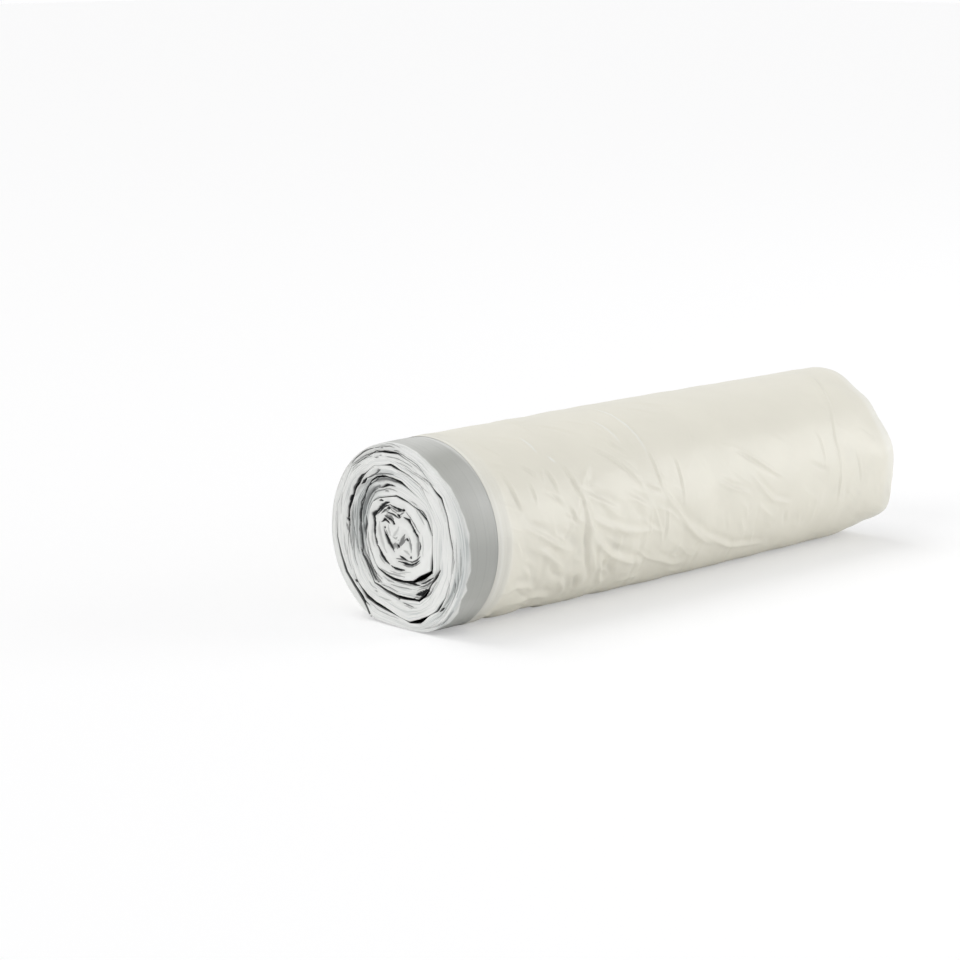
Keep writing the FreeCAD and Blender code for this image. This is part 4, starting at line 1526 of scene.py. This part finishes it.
@dataclass
class DrawTape:
    """The tape in the hem, a band round the outermost turn, and the white film before it.

    Attributes:
        form: The roll's form.
        grid: The number of points round the tape, and across it.
        crowding: How much the points across it crowd at the rim, as a power.
        opening: The angle left open at the free edge.
        clearance: How far its underside stays above the ground.
        back: How far the unseen side lies under the seen one.
        seed: Starts the random numbers.
    """

    form: RollForm
    grid: tuple[int, int] = (640, 58)
    crowding: float = 1.15
    opening: float = 3.0
    clearance: float = 0.02
    back: float = 2.0
    seed: int = 8

    def creases(self, angle: Array, across: Array, rng: Random) -> Array:
        """The creases along the tape.

        Args:
            angle: The angles of the tape's points.
            across: How far across the tape they are, from its rim.
            rng: The source of random numbers.

        Returns:
            The relief at each point.
        """
        relief = 0.0
        for place, depth in ((0.12, -0.07), (0.33, 0.06), (0.55, 0.07), (0.68, -0.05), (0.85, 0.06)):
            line = bump(across + 0.012 * eased(angle, 40.0, rng), place, 0.02)
            relief = relief + depth * line * (0.5 + 0.5 * eased(angle, 24.0, rng))
        return relief

    def fine_lines(self, angle: Array, across: Array, step: float, rng: Random) -> Array:
        """Noise in thin lines that wander round with the tape.

        Args:
            angle: The angles of the tape's points.
            across: How far across the tape they are, from its rim.
            step: How far apart the lines lie, in sixtieths of the tape's width.
            rng: The source of random numbers.

        Returns:
            The noise at each point.
        """
        return kinked(across * 60.0 + 1.5 * eased(angle, 40.0, rng), step, rng)

    def whiteness(self, angle: Array, across: Array, x: Array, rim: Array, rng: Random) -> Array:
        """How white the tape is: the film that laps over its edges, pale streaks, and a painted highlight.

        Args:
            angle: The angles of the tape's points.
            across: How far across the tape they are, from its rim.
            x: The X of each point.
            rim: The X of the rim.
            rng: The source of random numbers.

        Returns:
            The share of white at each point.
        """
        low = round_bump(angle, *LOW_SIDE)
        start = 0.7 + 1.3 * low + (0.6 + 0.7 * low) * kinked(angle, 5.0, rng)
        white = ramp(x - rim, start + 0.7, start - 0.2)
        lap = self.form.tape_end - (0.1 + 2.2 * round_bump(angle, 8.0, 25.0) + 0.4 * eased(angle, 22.0, rng))
        white = np.maximum(white, 0.8 * ramp(x, lap - 1.8, lap + 0.6))
        # Painted highlight: the tape is painted paler at its top and in a band near 60 degrees.
        light = bells(angle, (0.0, 20.0, 0.34), (60.0, 13.0, 0.26))
        light = light + 0.16 * eased(angle, 14.0, rng) * eased(across * 40.0 + 0.1 * angle, 16.0, rng)
        lines = np.clip(self.fine_lines(angle, across, 1.6, rng), 0.0, 1.0)
        lines = lines * np.clip(eased(angle + 25.0 * across, 12.0, rng), 0.0, 1.0)
        return np.clip(np.maximum(white, light + 0.12 * lines), 0.0, 1.0)

    def build(self) -> Piece:
        """Builds the tape.

        Returns:
            The piece.
        """
        form = self.form
        rng = np.random.default_rng(self.seed)
        angle = np.linspace(form.free_edge, form.free_edge + 360.0 - self.opening, self.grid[0])[:, None]
        across = np.linspace(0.0, 1.0, self.grid[1])[None, :] ** self.crowding
        waves = unsteady(angle, (0.22, 24.0), (0.14, 7.0), rng)
        rim = form.hem_x + 0.1 + bells(angle, (272.0, 52.0, 1.5), (214.0, 26.0, 1.0)) + waves
        x = rim + (form.tape_end - rim) * across

        tuck = 0.9 * ramp(x - rim, 1.3, 0.0) ** 2
        relief = self.creases(angle, across, rng) + 0.05 * np.sin(math.pi * across) - tuck
        surface = form.outline(angle) - form.shoulder(angle, x)
        ring = form.place(angle, surface + relief)
        ring[..., 1] = np.maximum(ring[..., 1], self.clearance)
        under = form.place(angle, surface - self.back)
        top = np.concatenate([x[..., None], ring], axis=-1)
        bottom = np.concatenate([x[..., None], under], axis=-1)[:, ::-1]

        white = self.whiteness(angle, across, x, rim, rng)
        streaks = eased(angle, 9.0, rng) * kinked(x - rim + 0.2 * kinked(angle, 9.0, rng), 0.5, rng)
        streaks = np.clip(streaks, 0.0, 1.0) * white * round_bump(angle, *LOW_SIDE)
        grey = np.clip(-self.fine_lines(angle, across, 1.3, rng) - 0.3, 0.0, 1.0)
        # Painted shade: the tape is painted darker round 95 degrees and low down near 152 degrees.
        deep = bells(angle, (95.0, 18.0, 0.28), (152.0, 13.0, 0.5))
        hollow = np.clip(0.6 * streaks + deep + 0.3 * grey, 0.0, 1.0)

        points = np.concatenate([top, bottom, top[:, :1]], axis=1)
        tint = np.concatenate([white, np.ones_like(white), white[:, :1]], axis=1)
        hollow = np.concatenate([hollow, np.zeros_like(hollow), hollow[:, :1]], axis=1)
        return grid_piece("tape_ring", points, tint=tint, hollow=hollow)


@dataclass
class InnerShade:
    """The inside of the roll, a near-black sheet of painted shade that closes the view between the ends.

    Attributes:
        form: The roll's form.
        inset: How far it lies under the outer film.
        back: How far it lies behind the ends.
        columns: The number of points round it.
    """

    form: RollForm
    inset: float = 1.6
    back: float = 13.0
    columns: int = 121

    def build(self) -> Piece:
        """Builds the inside.

        Returns:
            The piece.
        """
        form = self.form
        angle = np.linspace(0.0, 360.0, self.columns)
        reach = form.half_length - self.back
        share = np.array([0.0, 0.5, 1.0, 1.0, 0.5, 0.0])[:, None]
        flat = form.place(angle, (form.outline(angle) - self.inset) * share)
        x = np.repeat([-reach, reach], 3)[:, None, None]
        points = np.concatenate([np.broadcast_to(x, (*flat.shape[:2], 1)), flat], axis=-1)
        return grid_piece("inner_turns", points, hollow=np.zeros(points.shape[:2]))


# ---------------- light and camera

# How wide the two suns look, which softens their shadows.
SUN_ANGLE = math.radians(40)


@dataclass
class Studio:
    """The floor, the light and the camera.

    Attributes:
        form: The roll's form.
        turned: How far the camera is turned round the roll, from its front.
        raised: How far the camera looks down.
        spot: Where the camera is from the middle of the hemmed end, in roll radii: back, right and up.
        lens: The camera's focal length, in millimetres.
        floor_half: Half of the floor's width, in metres.
        floor_drop: How far it lies under the roll, in metres, so that the two don't touch.
        floor_glow: The share of the floor's seen colour that is plain white.
    """

    form: RollForm
    turned: float = -45.16
    raised: float = 11.11
    spot: tuple[float, float, float] = (28.85, 0.832, 0.608)
    lens: float = 107.25
    floor_half: float = 6.0
    floor_drop: float = 0.0002
    floor_glow: float = 0.36

    def lamp(
        self, kind: str, name: str, toward: tuple[float, float, float], strength: float
    ) -> bpy.types.Light:
        """Adds a lamp that points at the roll.

        Args:
            kind: Blender's kind of light.
            name: Its name.
            toward: Where it is from the roll, in metres.
            strength: Its strength.

        Returns:
            The lamp's data.
        """
        data = bpy.data.lights.new(name, kind)
        data.energy = strength
        lamp = bpy.data.objects.new(name, data)
        bpy.context.collection.objects.link(lamp)
        lamp.location = toward
        lamp.rotation_mode = "QUATERNION"
        lamp.rotation_quaternion = (-Vector(toward)).to_track_quat("-Z", "Y")
        return data

    def lamps(self) -> None:
        """Adds the soft light from above and behind, a weaker one at the hemmed end, and two softboxes."""
        self.lamp("SUN", "above", (-0.2, 0.7, 1.3), 1.05).angle = SUN_ANGLE
        self.lamp("SUN", "end_light", (-1.2, 0.2, 0.7), 0.75).angle = SUN_ANGLE
        for name, toward, strength, size in (
            ("softbox", (1.02, -0.92, 0.46), 4.9, (0.9, 0.7)),
            ("low_fill", (0.55, -1.05, 0.10), 1.3, (1.0, 0.2)),
        ):
            box = self.lamp("AREA", name, toward, strength)
            box.shape = "RECTANGLE"
            box.size, box.size_y = size

    def floor(self) -> None:
        """Adds the pale floor, whose white stays white outside the roll's shadow."""
        sides = (-self.floor_half, self.floor_half)
        ground = grid_piece("floor", np.array([[(x, y, 0.0) for x in sides] for y in sides]) / MM)
        ground.location.z = -self.floor_drop
        made = bpy.data.materials.new("white_floor")
        made.use_nodes = True
        nodes, links = made.node_tree.nodes, made.node_tree.links
        shader = nodes["Principled BSDF"]
        filled(shader, Base_Color=(0.985, 0.985, 0.99, 1.0), Roughness=0.9, Specular_IOR_Level=0.0)
        glow = filled(nodes.new("ShaderNodeEmission"), Strength=1.0)
        seen = nodes.new("ShaderNodeLightPath")
        share = nodes.new("ShaderNodeMath")
        share.operation = "MULTIPLY"
        share.inputs[1].default_value = self.floor_glow
        mix = nodes.new("ShaderNodeMixShader")
        links.new(seen.outputs["Is Camera Ray"], share.inputs[0])
        links.new(share.outputs["Value"], mix.inputs["Fac"])
        links.new(shader.outputs["BSDF"], mix.inputs[1])
        links.new(glow.outputs["Emission"], mix.inputs[2])
        links.new(mix.outputs["Shader"], nodes["Material Output"].inputs["Surface"])
        ground.data.materials.append(made)

    def room(self) -> None:
        """Adds the white surroundings, weaker where they light the roll than where they are seen."""
        world = bpy.data.worlds.new("white_room")
        world.use_nodes = True
        nodes, links = world.node_tree.nodes, world.node_tree.links
        ray = nodes.new("ShaderNodeLightPath")
        white = (1.0, 1.0, 1.0, 1.0)
        before = filled(nodes["Background"], Color=white, Strength=1.0).outputs["Background"]
        for kind, strength in (("Is Glossy Ray", 0.85), ("Is Diffuse Ray", 0.54)):
            glow = filled(nodes.new("ShaderNodeBackground"), Color=white, Strength=strength)
            mix = nodes.new("ShaderNodeMixShader")
            links.new(ray.outputs[kind], mix.inputs["Fac"])
            links.new(before, mix.inputs[1])
            links.new(glow.outputs["Background"], mix.inputs[2])
            before = mix.outputs["Shader"]
        links.new(before, nodes["World Output"].inputs["Surface"])
        bpy.context.scene.world = world

    def camera(self) -> None:
        """Adds the camera, at the view that shows the hemmed end and the side."""
        form = self.form
        turned, raised = math.radians(self.turned), math.radians(self.raised)
        level = math.cos(raised)
        back = Vector((math.sin(turned) * level, -math.cos(turned) * level, math.sin(raised)))
        right = (-back).cross(Vector((0.0, 0.0, 1.0))).normalized()
        up = right.cross(-back)
        near = Vector((form.hem_x, 0.0, form.centre_up))
        ways = sum((way * share for way, share in zip((back, right, up), self.spot)), Vector())
        spot = (near + ways * form.radius) * MM
        data = bpy.data.cameras.new("camera")
        data.lens = self.lens
        data.sensor_width = 36.0
        data.clip_start, data.clip_end = 0.05, 50.0
        camera = bpy.data.objects.new("camera", data)
        bpy.context.collection.objects.link(camera)
        rows = Matrix((right, up, back)).transposed().to_4x4()
        camera.matrix_world = Matrix.Translation(spot) @ rows
        bpy.context.scene.camera = camera

    def build(self) -> None:
        """Adds everything."""
        self.floor()
        self.room()
        self.lamps()
        self.camera()
        look = bpy.context.scene.view_settings
        look.view_transform = "Standard"
        look.look = "None"
        look.exposure = 0.0
        look.gamma = 1.0


# ---------------- the whole


def dress(piece: Piece, finish: Finish, node: str, made: dict[str, bpy.types.Material]) -> None:
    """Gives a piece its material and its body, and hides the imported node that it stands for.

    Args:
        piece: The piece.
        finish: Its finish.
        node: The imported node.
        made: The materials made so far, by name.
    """
    if finish.name not in made:
        made[finish.name] = finish.material()
    piece.data.materials.append(made[finish.name])
    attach(piece, "root")
    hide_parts(node)
    LOG.info("%s: %d faces", piece.name, len(piece.data.polygons))


def read_form() -> RollForm:
    """Reads the roll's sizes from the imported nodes.

    Returns:
        The form.
    """
    low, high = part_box("rolled_bags")
    tape_low, tape_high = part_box("draw_tape")
    return RollForm(
        radius=(tape_high.y - tape_low.y) / 2 / MM,
        half_length=(high.x - low.x) / 2 / MM,
        tape_end=tape_high.x / MM,
    )


def main() -> None:
    """Builds and dresses the roll."""
    logging.basicConfig(level=logging.INFO, format="%(name)s: %(message)s")
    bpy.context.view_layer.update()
    form = read_form()
    made: dict[str, bpy.types.Material] = {}
    for end, style in ((End.HEMMED, HEM_LIPS), (End.FOLDED, FOLD_LIPS)):
        for piece in WoundEnd(form, end, style).build():
            dress(piece, EDGES, "rolled_bags", made)
    dress(InnerShade(form).build(), INSIDE_SHADE, "rolled_bags", made)
    for piece in FilmSkin(form).build():
        dress(piece, FILM, "rolled_bags", made)
    dress(DrawTape(form).build(), TAPE, "draw_tape", made)

    Studio(form).build()
    bpy.context.view_layer.update()


if __name__ == "__main__":
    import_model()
    main()
